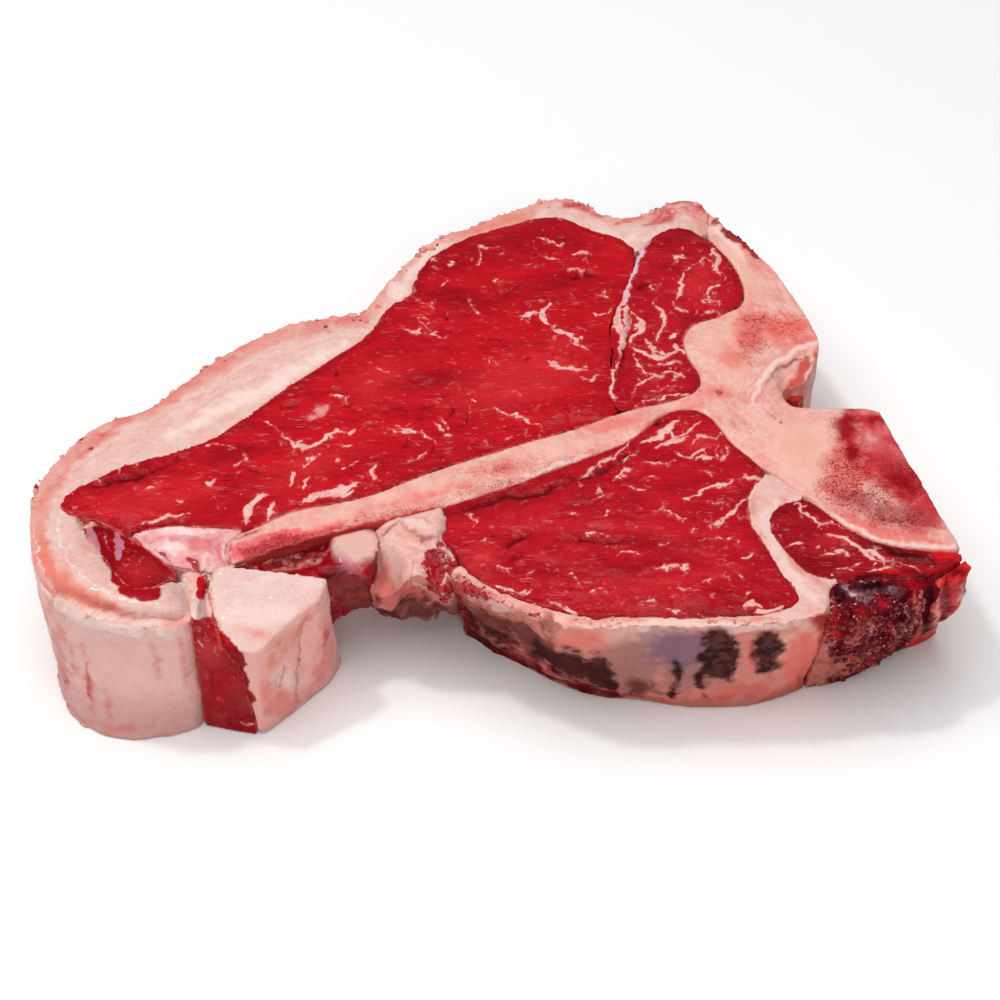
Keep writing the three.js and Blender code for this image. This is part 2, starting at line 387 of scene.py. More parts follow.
@dataclass(frozen=True)
class Line(Mark):
    """A mark drawn along a path, thinner towards its ends.

    Attributes:
        width: full width in thousandths of the frame.
        path: places it runs through.
        taper: share of the width that is left at the ends.
    """

    width: float
    path: tuple[Place, ...]
    taper: float = 0.15

    def distance(self, places: Array) -> Array:
        """Measure the way to the mark.

        Args:
            places: places in the frame, one to a row.

        Returns:
            Their distances, below zero inside the mark.
        """
        path = np.array(self.path, float)
        spans = np.linalg.norm(np.diff(path, axis=0), axis=1)
        starts = np.concatenate([[0], np.cumsum(spans)])
        best = np.full(len(places), 1e3)
        for index, span in enumerate(spans):
            edge = path[index + 1] - path[index]
            share = np.clip((places - path[index]) @ edge / span**2, 0, 1)
            away = np.linalg.norm(places - path[index] - share[:, None] * edge, axis=1)
            along = (starts[index] + share * span) / starts[-1]
            plump = self.taper + (1 - self.taper) * np.maximum(np.sin(math.pi * along), 0) ** 0.7
            best = np.minimum(best, away - 0.5 * self.width * plump)
        return best

    def box(self) -> tuple[Array, Array]:
        """The lower and the upper corner of a box around the mark."""
        path = np.array(self.path)
        return path.min(0) - self.width, path.max(0) + self.width


@dataclass(frozen=True)
class Spot(Mark):
    """A round or oval mark.

    Attributes:
        at: its middle in the frame.
        size: half its length and half its breadth.
        turn: how far its length points down from level, in degrees.
    """

    at: Place
    size: Place
    turn: float = 0.0

    def distance(self, places: Array) -> Array:
        """Measure the way to the mark.

        Args:
            places: places in the frame, one to a row.

        Returns:
            Their distances, below zero inside the mark.
        """
        angle = math.radians(self.turn)
        reach = places - np.array(self.at)
        along = reach @ np.array([math.cos(angle), math.sin(angle)])
        across = reach @ np.array([-math.sin(angle), math.cos(angle)])
        return (np.hypot(along / self.size[0], across / self.size[1]) - 1) * min(self.size)

    def box(self) -> tuple[Array, Array]:
        """The lower and the upper corner of a box around the mark."""
        at = np.array(self.at)
        return at - max(self.size), at + max(self.size)


def line(width: float, *path: Place, taper: float = 0.15) -> Line:
    """Short form of a Line."""
    return Line(width, path, taper)


def spot(x: float, y: float, wide: float, high: float, turn: float = 0.0) -> Spot:
    """Short form of a Spot."""
    return Spot((x, y), (wide, high), turn)


@dataclass(frozen=True)
class Flecks:
    """Short strokes strewn over a piece's cut face.

    Attributes:
        count: how many.
        length, width: shortest and longest, thinnest and thickest, in thousandths of the frame.
        slope: how they lie, in degrees down from level, and how far they stray from it.
        seed: picks the draw.
        bend: how far their middle strays, as a share of their length.
    """

    count: int
    length: Place
    width: Place
    slope: Place = (8.0, 30.0)
    seed: int = 1
    bend: float = 0.25

    def strokes(self, low: Array, high: Array) -> list[Line]:
        """Draw the strokes.

        Args:
            low, high: corners of the part of the frame in which they start.

        Returns:
            The strokes.
        """
        rng = np.random.default_rng(self.seed)
        strokes = []
        for _ in range(self.count):
            start = rng.uniform(low, high)
            angle = math.radians(rng.normal(*self.slope))
            reach = rng.uniform(*self.length)
            bend = rng.normal(0, self.bend)
            along = np.array([math.cos(angle), math.sin(angle)]) * reach
            aside = np.array([-along[1], along[0]]) * bend
            path = (tuple(start), tuple(start + along / 2 + aside), tuple(start + along))
            strokes.append(Line(rng.uniform(*self.width), path))
        return strokes


@dataclass(frozen=True)
class Twigs:
    """Thin side branches that leave veins. Lengths are thousandths of the frame.

    Attributes:
        seed: picks the draw.
        spacing: length of vein to each branch.
        turn: least and most that a branch turns off its vein, in degrees.
        length: shortest and longest.
        squash: share of the height that the slanting sight leaves.
        wander: how far a branch's middle strays.
        width: a branch's width as a share of its vein's.
        widest: the most that it's wide.
        taper: share of the width that is left at the ends.
    """

    seed: int
    spacing: float = 15.0
    turn: Place = (25.0, 75.0)
    length: Place = (3.0, 8.0)
    squash: float = 0.7
    wander: float = 0.8
    width: float = 0.7
    widest: float = 1.7
    taper: float = 0.6

    def grown(self, veins: Sequence[Mark]) -> list[Line]:
        """Draw the branches.

        Args:
            veins: what they leave. Spots bear none.

        Returns:
            The branches.
        """
        rng = np.random.default_rng(self.seed)
        result = []
        for vein in veins:
            path = np.array(vein.path if isinstance(vein, Line) else [], float)
            for start, end in zip(path[:-1], path[1:]):
                span = end - start
                for _ in range(rng.poisson(np.hypot(*span) / self.spacing)):
                    turn = rng.choice((-1, 1)) * math.radians(rng.uniform(*self.turn))
                    along = span / np.hypot(*span) * rng.uniform(*self.length)
                    cos, sin = math.cos(turn), math.sin(turn)
                    rise = (along[0] * sin + along[1] * cos) * self.squash
                    reach = np.array([along[0] * cos - along[1] * sin, rise])
                    root = start + span * rng.uniform(0, 1)
                    bend = root + reach * 0.5 + rng.normal(0, self.wander, 2)
                    width = min(self.widest, self.width * vein.width)
                    points = (tuple(root), tuple(bend), tuple(root + reach))
                    result.append(Line(width, points, self.taper))
        return result


# ---- Shaders -------------------------------------------------------------------------------------


class Wiring:
    """Adds nodes to a node tree and links them as it goes."""

    def __init__(self, tree: bpy.types.NodeTree) -> None:
        """Start on a tree."""
        self.tree = tree

    def add(
        self, kind: str, feeds: dict[str | int, Feed] | None = None, **settings: object
    ) -> bpy.types.Node:
        """Add a node.

        Args:
            kind: the node's type.
            feeds: what goes into its inputs, a value or another node's output.
            settings: the node's own options.

        Returns:
            The node.
        """
        node = self.tree.nodes.new(kind)
        for name, value in settings.items():
            setattr(node, name, value)
        for name, value in (feeds or {}).items():
            socket = node.inputs[name]
            if isinstance(value, bpy.types.NodeSocket):
                self.tree.links.new(value, socket)
            else:
                socket.default_value = value
        return node

    def math(
        self, operation: str, first: Feed, second: Feed = 0.0, clamp: bool = False
    ) -> bpy.types.NodeSocket:
        """Add a node that works one value out of two."""
        node = self.add("ShaderNodeMath", {0: first, 1: second}, operation=operation, use_clamp=clamp)
        return node.outputs[0]

    def plus(self, first: Feed, second: Feed, clamp: bool = False) -> bpy.types.NodeSocket:
        """Add two values up."""
        return self.math("ADD", first, second, clamp)

    def minus(self, first: Feed, second: Feed) -> bpy.types.NodeSocket:
        """Take one value off another."""
        return self.math("SUBTRACT", first, second)

    def times(self, first: Feed, second: Feed) -> bpy.types.NodeSocket:
        """Multiply two values."""
        return self.math("MULTIPLY", first, second)

    def blend(self, share: Feed, low: Feed, high: Feed, way: str = "MIX") -> bpy.types.NodeSocket:
        """Mix two colours."""
        node = self.add("ShaderNodeMix", {0: share, 6: low, 7: high}, data_type="RGBA", blend_type=way)
        return node.outputs[2]

    def level(self, share: Feed, low: Feed, high: Feed) -> bpy.types.NodeSocket:
        """Mix two values."""
        return self.add("ShaderNodeMix", {0: share, 2: low, 3: high}).outputs[0]

    def rise(self, value: Feed, low: float, high: float) -> bpy.types.NodeSocket:
        """Rise smoothly from 0 at one value to 1 at another."""
        feeds = {"Value": value, "From Min": low, "From Max": high}
        return self.add("ShaderNodeMapRange", feeds, interpolation_type="SMOOTHSTEP").outputs[0]

    def noise(
        self, place: Feed, size: float, detail: float = 2.0, rough: float = 0.5
    ) -> bpy.types.NodeSocket:
        """Add noise whose swells are `size` millimetres long."""
        feeds = {"Vector": place, "Scale": 1 / (size * MM), "Detail": detail, "Roughness": rough}
        return self.add("ShaderNodeTexNoise", feeds).outputs[0]

    def cells(self, place: Feed, size: float, feature: str = "F1") -> bpy.types.NodeSocket:
        """Add the distance pattern of cells `size` millimetres wide."""
        feeds = {"Vector": place, "Scale": 1 / (size * MM)}
        return self.add("ShaderNodeTexVoronoi", feeds, feature=feature).outputs["Distance"]

    def stretch(self, place: Feed, scale: Sequence[float], turn: float = 0.0) -> bpy.types.NodeSocket:
        """Turn a pattern about the vertical and stretch it."""
        feeds = {"Vector": place, "Scale": scale, "Rotation": (0, 0, math.radians(turn))}
        return self.add("ShaderNodeMapping", feeds).outputs[0]

    def mark(self, name: str) -> bpy.types.NodeSocket:
        """Read a mark's distance from the mesh, in a material."""
        return self.add("ShaderNodeAttribute", attribute_name=name).outputs["Fac"]

    def stored(self, name: str) -> bpy.types.NodeSocket:
        """Read a mark's distance from the mesh, in geometry nodes."""
        node = self.add("GeometryNodeInputNamedAttribute", {"Name": name}, data_type="FLOAT")
        return node.outputs[0]

    def vector(self, operation: str, feeds: dict[str | int, Feed]) -> bpy.types.NodeSocket:
        """Add a node that works out vectors."""
        return self.add("ShaderNodeVectorMath", feeds, operation=operation).outputs[0]


class Effect:
    """A shader node group that several finishes use."""

    name = "effect"
    takes: tuple[tuple[str, str], ...] = ()
    gives: tuple[tuple[str, str], ...] = ()

    @classmethod
    def group(cls) -> bpy.types.NodeTree:
        """Get the group, and build it the first time.

        Returns:
            The group's node tree.
        """
        tree = bpy.data.node_groups.get(cls.name)
        if tree is None:
            tree = bpy.data.node_groups.new(cls.name, "ShaderNodeTree")
            for way, sockets in (("INPUT", cls.takes), ("OUTPUT", cls.gives)):
                for name, kind in sockets:
                    tree.interface.new_socket(name, in_out=way, socket_type=f"NodeSocket{kind}")
            wiring = Wiring(tree)
            source = wiring.add("NodeGroupInput").outputs
            results = cls.wire(wiring, source)
            wiring.add("NodeGroupOutput", dict(results))
        return tree

    @classmethod
    def wire(cls, wiring: Wiring, source: bpy.types.NodeOutputs) -> dict[str, Feed]:
        """Build the inside of the group and say what each output shows."""
        raise NotImplementedError

    @classmethod
    def place(cls, wiring: Wiring, **feeds: Feed) -> bpy.types.NodeOutputs:
        """Put the group into a finish."""
        return wiring.add("ShaderNodeGroup", feeds, node_tree=cls.group()).outputs


class Stray(Effect):
    """The waywardness that all torn rims of a finish share."""

    name = "stray"
    takes = (("Place", "Vector"),)
    gives = (("Stray", "Float"), ("Sway", "Float"), ("Patch", "Float"))

    @classmethod
    def wire(cls, wiring: Wiring, source: bpy.types.NodeOutputs) -> dict[str, Feed]:
        """Rough and slow noise about zero, and soft noise that breaks strokes up.

        Args:
            wiring: the group's nodes.
            source: what the group takes.

        Returns:
            What feeds the rough noise, the slow noise and the patches.
        """
        rough = wiring.noise(source["Place"], 1.5, 6.0, 0.72)
        slow = wiring.noise(source["Place"], 4.5, 5.0, 0.6)
        stray = wiring.times(wiring.minus(rough, 0.5), 3.4)
        sway = wiring.times(wiring.minus(slow, 0.5), 4.4)
        return {"Stray": stray, "Sway": sway, "Patch": wiring.noise(source["Place"], 2.6, 3.0, 0.6)}


class TornEdge(Effect):
    """Turns a mark's distance into a mask with a ragged rim."""

    name = "torn_edge"
    takes = tuple(
        (name, "Float") for name in ("Distance", "Reach", "Feather", "Tear", "Stray", "Patch", "Broken")
    )
    gives = (("Mask", "Float"),)

    @classmethod
    def wire(cls, wiring: Wiring, source: bpy.types.NodeOutputs) -> dict[str, Feed]:
        """Shift the distance by the stray noise, cut it off, and break it up.

        Args:
            wiring: the group's nodes.
            source: what the group takes.

        Returns:
            What feeds the mask.
        """
        moved = wiring.plus(source["Distance"], wiring.times(source["Stray"], source["Tear"]))
        inward = wiring.minus(source["Reach"], moved)
        share = wiring.plus(wiring.math("DIVIDE", inward, source["Feather"]), 0.5)
        whole = wiring.rise(share, 0.0, 1.0)
        kept = wiring.level(source["Broken"], 1.0, wiring.rise(source["Patch"], 0.4, 0.58))
        return {"Mask": wiring.times(whole, kept)}


class MuscleGrain(Effect):
    """Bundles of fibre seen end on, with broad swells of tone and hair-thin marbling."""

    name = "muscle_grain"
    width = 0.03  # how far from its middle the noise may be in a hair
    takes = (("Place", "Vector"),)
    gives = (("Tone", "Float"), ("Hair", "Float"), ("Pit", "Float"), ("Height", "Float"))

    @classmethod
    def hairs(cls, wiring: Wiring, place: Feed, size: float, gate: Feed) -> bpy.types.NodeSocket:
        """Draw thin lines where a noise crosses its middle.

        Args:
            wiring: the group's nodes.
            place: where the noise is read.
            size: length of its swells, in millimetres.
            gate: how far the lines are kept.

        Returns:
            The lines' mask.
        """
        level = wiring.math("ABSOLUTE", wiring.minus(wiring.noise(place, size, 3.0, 0.55), 0.5))
        dashes = wiring.rise(wiring.noise(place, 0.8, 1.0), 0.46, 0.56)
        return wiring.times(wiring.rise(level, cls.width, cls.width * 0.2), wiring.times(gate, dashes))

    @classmethod
    def wire(cls, wiring: Wiring, source: bpy.types.NodeOutputs) -> dict[str, Feed]:
        """Drawn-out noise for tone, cells for bundles, crossings for hairs and pits.

        Args:
            wiring: the group's nodes.
            source: what the group takes.

        Returns:
            What feeds the tone, the hairs, the pits and the height.
        """
        place = source["Place"]
        pulled = wiring.stretch(place, (0.42, 1.25, 0.3))
        shifted = wiring.stretch(place, (0.5, 1.1, 0.35), 9.0)
        broad = wiring.rise(wiring.noise(pulled, 9.0, 4.0, 0.6), 0.3, 0.7)
        medium = wiring.noise(pulled, 1.9, 4.0, 0.66)
        fine = wiring.noise(place, 0.5, 3.0, 0.7)
        bundle = wiring.rise(wiring.cells(shifted, 0.95), 0.1, 0.75)
        streak = wiring.rise(medium, 0.3, 0.72)
        tone = wiring.plus(wiring.times(broad, 0.56), wiring.times(streak, 0.26))
        tone = wiring.plus(tone, wiring.times(wiring.rise(fine, 0.3, 0.7), 0.22), clamp=True)
        here = wiring.rise(wiring.noise(place, 4.2, 2.0), 0.5, 0.6)
        there = wiring.rise(wiring.noise(shifted, 4.0, 2.0), 0.52, 0.6)
        drawn = wiring.stretch(place, (0.2, 1.2, 0.3), 7.0)
        hair = cls.hairs(wiring, drawn, 2.0, here)
        pit = cls.hairs(wiring, wiring.stretch(place, (0.24, 1.1, 0.3)), 2.4, there)
        grain = wiring.plus(wiring.times(fine, 0.13), wiring.times(medium, 0.2))
        grain = wiring.minus(grain, wiring.times(bundle, 0.05))
        return {"Tone": tone, "Hair": hair, "Pit": pit, "Height": grain}


class FatTint(Effect):
    """Mottled fat between two colours, in layers that follow the steak's outer edge."""

    name = "fat_tint"
    takes = (("Place", "Vector"), ("Rim", "Float"), ("Pale", "Color"), ("Flushed", "Color"))
    gives = (("Colour", "Color"), ("Height", "Float"))

    @classmethod
    def wire(cls, wiring: Wiring, source: bpy.types.NodeOutputs) -> dict[str, Feed]:
        """Broad flushes, layers along the rim, small lobules, a fine grain and pale painted glints.

        Args:
            wiring: the group's nodes.
            source: what the group takes.

        Returns:
            What feeds the colour and the height.
        """
        place = source["Place"]
        broad = wiring.rise(wiring.noise(place, 7.0, 4.0, 0.65), 0.34, 0.68)
        small = wiring.noise(place, 1.2, 4.0, 0.66)
        parts = wiring.add("ShaderNodeSeparateXYZ", {0: wiring.stretch(place, (0.16, 0.16, 0.45))}).outputs
        depth = wiring.times(source["Rim"], 0.8 * MM)
        level = wiring.plus(parts[1], parts[2])
        along = wiring.add("ShaderNodeCombineXYZ", {0: depth, 1: parts[0], 2: level}).outputs[0]
        layer = wiring.rise(wiring.noise(along, 1.1, 4.0, 0.6), 0.38, 0.66)
        share = wiring.plus(wiring.times(broad, 0.45), wiring.times(layer, 0.34))
        share = wiring.plus(share, wiring.times(wiring.rise(small, 0.36, 0.7), 0.3), clamp=True)
        lobules = wiring.rise(wiring.cells(place, 2.2, "SMOOTH_F1"), 0.05, 0.7)
        fine = wiring.noise(place, 0.4, 3.0, 0.65)
        grain = wiring.plus(wiring.times(fine, 0.06), wiring.times(small, 0.2))
        grain = wiring.plus(grain, wiring.times(layer, 0.05))
        grain = wiring.minus(grain, wiring.times(lobules, 0.14))
        beads = Specks.place(wiring, Place=place, Spacing=2.4, Share=0.22, Size=0.22)["Mask"]
        height = wiring.plus(grain, wiring.times(beads, 0.14))
        colour = wiring.blend(share, source["Pale"], source["Flushed"])
        speck = wiring.times(wiring.rise(fine, 0.45, 0.75), 0.3)
        colour = wiring.blend(speck, colour, display(*FAT_SPECK))
        # Painted glints: pale flecks where the fine noise is low.
        painted_glint = wiring.times(wiring.rise(fine, 0.42, 0.25), 0.25)
        return {"Colour": wiring.blend(painted_glint, colour, display(*FAT_GLINT)), "Height": height}


class Moisture(Effect):
    """Patches of wet and drier surface."""

    name = "moisture"
    takes = (("Place", "Vector"), ("Wet", "Float"), ("Dry", "Float"))
    gives = (("Roughness", "Float"), ("Gloss", "Float"))

    @classmethod
    def wire(cls, wiring: Wiring, source: bpy.types.NodeOutputs) -> dict[str, Feed]:
        """Noise at two sizes sets how wet a place is.

        Args:
            wiring: the group's nodes.
            source: what the group takes.

        Returns:
            What feeds the roughness and the gloss.
        """
        broad = wiring.noise(source["Place"], 6.0, 2.0)
        small = wiring.noise(source["Place"], 0.7, 2.0)
        both = wiring.plus(wiring.times(broad, 0.5), wiring.times(small, 0.5))
        share = wiring.rise(both, 0.38, 0.6)
        roughness = wiring.level(share, source["Wet"], source["Dry"])
        return {"Roughness": roughness, "Gloss": wiring.minus(1.0, share)}


class Specks(Effect):
    """Tiny separate dots."""

    name = "specks"
    takes = (("Place", "Vector"), ("Spacing", "Float"), ("Share", "Float"), ("Size", "Float"))
    gives = (("Mask", "Float"),)

    @classmethod
    def wire(cls, wiring: Wiring, source: bpy.types.NodeOutputs) -> dict[str, Feed]:
        """A dot in the middle of some cells, picked by the cell's random value.

        Args:
            wiring: the group's nodes.
            source: what the group takes.

        Returns:
            What feeds the mask.
        """
        scale = wiring.math("DIVIDE", 1 / MM, source["Spacing"])
        cells = wiring.add("ShaderNodeTexVoronoi", {"Vector": source["Place"], "Scale": scale})
        lot = wiring.add("ShaderNodeSeparateColor", {0: cells.outputs["Color"]}).outputs
        picked = wiring.math("LESS_THAN", lot[0], source["Share"])
        spread = wiring.plus(wiring.times(lot[1], 0.75), 0.25)
        size = wiring.times(spread, source["Size"])
        inside = wiring.rise(wiring.minus(size, cells.outputs["Distance"]), 0.0, 0.12)
        return {"Mask": wiring.times(inside, picked)}


# ---- Finishes ------------------------------------------------------------------------------------


@dataclass(frozen=True)
class Layer:
    """One colour laid over a finish where a mark is drawn.

    Attributes:
        mark: the mark's name, or "seam", "rim" or "skin" for what every piece carries.
        colour: how a screen shows it, 0 to 255.
        strength: how much it covers.
        feather: width of its soft rim, in millimetres.
        tear: how far the rim strays, in millimetres.
        reach: how far it spreads past the mark, in millimetres.
        height: how far it stands over the surface, in millimetres.
        broken: how far it's broken into patches.
        dotted: size of the speckle that breaks it into dots, in millimetres. Nought leaves it whole.
        deep: its darker colour, where it's muscle with a grain of its own.
    """

    mark: str
    colour: Colour
    strength: float = 1.0
    feather: float = 0.3
    tear: float = 0.25
    reach: float = 0.0
    height: float = 0.0
    broken: float = 0.0
    dotted: float = 0.0
    deep: Colour | None = None

    @property
    def stray(self) -> str:
        """Which noise tears its rim: the slow one where the rim is soft."""
        return "Sway" if self.feather > 1.4 else "Stray"

    def laid(self, wiring: Wiring, place: Feed, stray: bpy.types.NodeOutputs, under: Under) -> Under:
        """Lay it over what is there.

        Args:
            wiring: the material's nodes.
            place: object coordinates.
            stray: the noises that tear rims.
            under: the colour and the height so far.

        Returns:
            The new colour and height.
        """
        colour, height = under
        mask = TornEdge.place(
            wiring, Distance=wiring.mark(self.mark), Reach=self.reach, Feather=self.feather,
            Tear=self.tear, Stray=stray[self.stray], Patch=stray["Patch"], Broken=self.broken,
        )["Mask"]
        mask = wiring.times(mask, self.strength)
        if self.dotted:
            dots = wiring.rise(wiring.noise(place, self.dotted, 2.0, 0.6), 0.5, 0.62)
            mask = wiring.times(mask, dots)
        cover: Feed = display(*self.colour)
        if self.deep:
            grain = MuscleGrain.place(wiring, Place=place)
            cover = wiring.blend(grain["Tone"], display(*self.deep), cover)
        colour = wiring.blend(mask, colour, cover)
        if self.height:
            height = wiring.plus(height, wiring.times(mask, self.height))
        return colour, height


@dataclass(frozen=True)
class Finish:
    """The surface of a piece.

    Attributes:
        ground: what it's made of.
        pale, deep: the two colours that it varies between, as a screen shows them.
        layers: what lies over it, from the bottom up.
        wet, dry: roughness where it's wet and where it's drier.
        gloss: strength of the wet film.
        bump: how strongly its fine relief shows.
        depth: how far light travels inside, in millimetres.
        glow: how much of the light travels inside.
        shine: how strongly the bare surface mirrors.
        marbled: how much hair-thin fat, painted shade in the grain's pits and pale dots run through lean.
    """

    ground: Ground
    pale: Colour
    deep: Colour
    layers: tuple[Layer, ...] = ()
    wet: float = 0.22
    dry: float = 0.5
    gloss: float = 0.25
    bump: float = 1.0
    depth: float = 1.0
    glow: float = 0.25
    shine: float = 0.05
    marbled: float = 1.0

    def muscle(self, wiring: Wiring, place: Feed) -> Under:
        """Build lean: grain, pits painted in shade, hairs of fat, and pale dots that are fat specks and
        painted glints.

        Args:
            wiring: the material's nodes.
            place: object coordinates.

        Returns:
            Its colour and its height in millimetres.
        """
        grain = MuscleGrain.place(wiring, Place=place)
        colour = wiring.blend(grain["Tone"], display(*self.deep), display(*self.pale))
        # Painted shade: the grain's pits are darkened where they dip.
        pits = wiring.times(grain["Pit"], 0.45 * self.marbled)
        colour = wiring.blend(pits, colour, display(*PIT_SHADE))
        hairs = wiring.times(grain["Hair"], 0.34 * self.marbled)
        colour = wiring.blend(hairs, colour, display(*HAIR_FAT))
        # Pale dots: partly fat specks, partly painted glints; they also stand as tiny domes.
        dots = Specks.place(wiring, Place=place, Spacing=1.7, Share=0.22, Size=0.2)["Mask"]
        colour = wiring.blend(wiring.times(dots, 0.6 * self.marbled), colour, display(*PALE_DOT_AND_GLINT))
        height = wiring.minus(grain["Height"], wiring.times(grain["Pit"], 0.12 * self.marbled))
        return colour, wiring.plus(height, wiring.times(dots, 0.12))

    def base(self, wiring: Wiring, place: Feed) -> Under:
        """Build what lies under the layers.

        Args:
            wiring: the material's nodes.
            place: object coordinates.

        Returns:
            Its colour and its height in millimetres.
        """
        if self.ground is Ground.MUSCLE:
            return self.muscle(wiring, place)
        pale, deep = display(*self.pale), display(*self.deep)
        tint = FatTint.place(wiring, Place=place, Rim=wiring.mark("rim"), Pale=pale, Flushed=deep)
        if self.ground is Ground.FAT:
            return tint["Colour"], tint["Height"]
        pits = wiring.rise(wiring.cells(place, 0.55), 0.12, 0.45)
        speckle = wiring.noise(place, 0.6, 3.0, 0.7)
        shade = wiring.times(wiring.rise(speckle, 0.52, 0.72), 0.45)
        height = wiring.plus(wiring.times(pits, 0.05), wiring.times(tint["Height"], 0.5))
        return wiring.blend(shade, tint["Colour"], deep), height

    def material(self, name: str) -> bpy.types.Material:
        """Build the material.

        Args:
            name: the material's name.

        Returns:
            The material.
        """
        material = bpy.data.materials.new(name)
        material.use_nodes = True
        material.node_tree.nodes.clear()
        wiring = Wiring(material.node_tree)
        place = wiring.add("ShaderNodeTexCoord").outputs["Object"]
        colour, height = self.base(wiring, place)
        stray = Stray.place(wiring, Place=place)
        for layer in self.layers:
            colour, height = layer.laid(wiring, place, stray, (colour, height))
        wetness = Moisture.place(wiring, Place=place, Wet=self.wet, Dry=self.dry)
        bump = wiring.add("ShaderNodeBump", {"Strength": self.bump, "Distance": MM, "Height": height})
        feeds = {
            "Base Color": colour,
            "Roughness": wetness["Roughness"],
            "Coat Weight": wiring.times(wetness["Gloss"], self.gloss),
            "Coat Roughness": 0.08,
            "Specular IOR Level": self.shine,
            "Subsurface Weight": self.glow,
            "Subsurface Radius": (1.0, 0.35, 0.25),
            "Subsurface Scale": self.depth * MM,
            "Normal": bump.outputs[0],
        }
        shader = wiring.add("ShaderNodeBsdfPrincipled", feeds)
        wiring.add("ShaderNodeOutputMaterial", {0: shader.outputs[0]})
        return material


# ---- Surfaces ------------------------------------------------------------------------------------


class Surface:
    """The fine mesh of one piece while it's being shaped.

    Attributes:
        sharp: edges that bend more than this many degrees stay crisp.
        weld: points of the solid nearer than this many metres are one.
        faint: the least share by which a spread value is scaled up again.
    """

    sharp = 62.0
    weld = 1e-6
    faint = 0.08

    def __init__(self, node: str, voxel: float) -> None:
        """Copy a node, join its loose triangles and mesh it finely.

        Args:
            node: the frame's solid.
            voxel: size of a face, in millimetres.
        """
        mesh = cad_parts[node].data.copy()
        work = bmesh.new()
        work.from_mesh(mesh)
        bmesh.ops.remove_doubles(work, verts=work.verts, dist=self.weld)
        work.to_mesh(mesh)
        work.free()
        mesh.materials.clear()
        rough = bpy.data.objects.new("rough", mesh)
        bpy.context.scene.collection.objects.link(rough)
        even = rough.modifiers.new("even", "REMESH")
        even.mode = "VOXEL"
        even.voxel_size = voxel * MM
        shown = rough.evaluated_get(bpy.context.evaluated_depsgraph_get())
        self.mesh = bpy.data.meshes.new_from_object(shown)
        bpy.data.objects.remove(rough)
        self.mesh.name = node
        self.read()

    def read(self) -> None:
        """Take the mesh's points and edges into arrays."""
        count = len(self.mesh.vertices)
        self.co = np.empty(count * 3)
        self.mesh.vertices.foreach_get("co", self.co)
        self.co = self.co.reshape(-1, 3) / MM
        edges = np.empty(len(self.mesh.edges) * 2, np.int64)
        self.mesh.edges.foreach_get("vertices", edges)
        self.edges = edges.reshape(-1, 2)
        self.normal = self.normals()

    def normals(self) -> Array:
        """The points' outward directions.

        Returns:
            One direction for each point.
        """
        self.mesh.vertices.foreach_set("co", (self.co * MM).ravel())
        self.mesh.update()
        normal = np.empty(len(self.co) * 3)
        self.mesh.vertex_normals.foreach_get("vector", normal)
        return normal.reshape(-1, 3)

    def refine_top(self) -> None:
        """Halve the faces of the cut face."""
        work = bmesh.new()
        work.from_mesh(self.mesh)
        up = self.normal[:, 2] > LEVEL
        work.verts.ensure_lookup_table()
        edges = [edge for edge in work.edges if up[edge.verts[0].index] and up[edge.verts[1].index]]
        bmesh.ops.subdivide_edges(work, edges=edges, cuts=1, use_grid_fill=True)
        work.to_mesh(self.mesh)
        work.free()
        self.mesh.update()
        self.read()

    def relaxed(self, values: Array, free: Array, rounds: int, alone: bool = True) -> Array:
        """Smooth values over the mesh.

        Args:
            values: one row for each point.
            free: which points may change.
            rounds: how often.
            alone: whether only free points pull on each other.

        Returns:
            The smoothed values.
        """
        pairs = self.edges[free[self.edges[:, 0]] & free[self.edges[:, 1]]] if alone else self.edges
        first, second = pairs[:, 0], pairs[:, 1]
        count = len(values)
        degree = np.bincount(first, minlength=count) + np.bincount(second, minlength=count)
        share = np.where((degree > 1) & free, 0.5, 0.0)
        values = values.copy()
        for _ in range(rounds):
            for axis in range(values.shape[1]):
                row = values[:, axis]
                total = np.bincount(first, row[second], count) + np.bincount(second, row[first], count)
                mean = total / np.maximum(degree, 1)
                values[:, axis] = row + share * (mean - row)
        return values

    def spread(self, values: Array, known: Array, rounds: int) -> Array:
        """Carry values from the points where they're known to those around.

        Args:
            values: one row for each point.
            known: which points have one.
            rounds: how far it's carried, in edges.

        Returns:
            The values, fading with distance.
        """
        both = np.column_stack([values, np.ones(len(values))]) * known[:, None]
        both = self.relaxed(both, ~known, rounds, alone=False)
        return both[:, :-1] / np.maximum(both[:, -1:], self.faint)

    def store(self, name: str, values: Array) -> None:
        """Keep one value for each point with the mesh."""
        layer = self.mesh.attributes.new(name, "FLOAT", "POINT")
        layer.data.foreach_set("value", values.astype(np.float32))

    def finished(self, name: str, material: bpy.types.Material) -> bpy.types.Object:
        """Make the piece's object.

        Args:
            name: its name.
            material: its finish.

        Returns:
            The object, in the scene.
        """
        self.mesh.vertices.foreach_set("co", (self.co * MM).ravel())
        self.mesh.update()
        self.mesh.materials.append(material)
        self.mesh.shade_smooth()
        self.mesh.set_sharp_from_angle(angle=math.radians(self.sharp))
        piece = bpy.data.objects.new(name, self.mesh)
        bpy.context.scene.collection.objects.link(piece)
        return piece


def distances(co: Array, names: Sequence[str], limit: float = FAR) -> Array:
    """Measure how near some of the frame's solids are.

    Args:
        co: points, in millimetres.
        names: the solids' nodes.
        limit: the largest distance that matters.

    Returns:
        Each point's distance from the nearest, up to the limit.
    """
    if not names:
        return np.full(len(co), limit)
    tree = BVHTree.FromPolygons(*triangles(names))
    found = (tree.find_nearest(point, limit)[3] for point in co.tolist())
    return np.array([limit if distance is None else distance for distance in found])


# ---- Pieces --------------------------------------------------------------------------------------


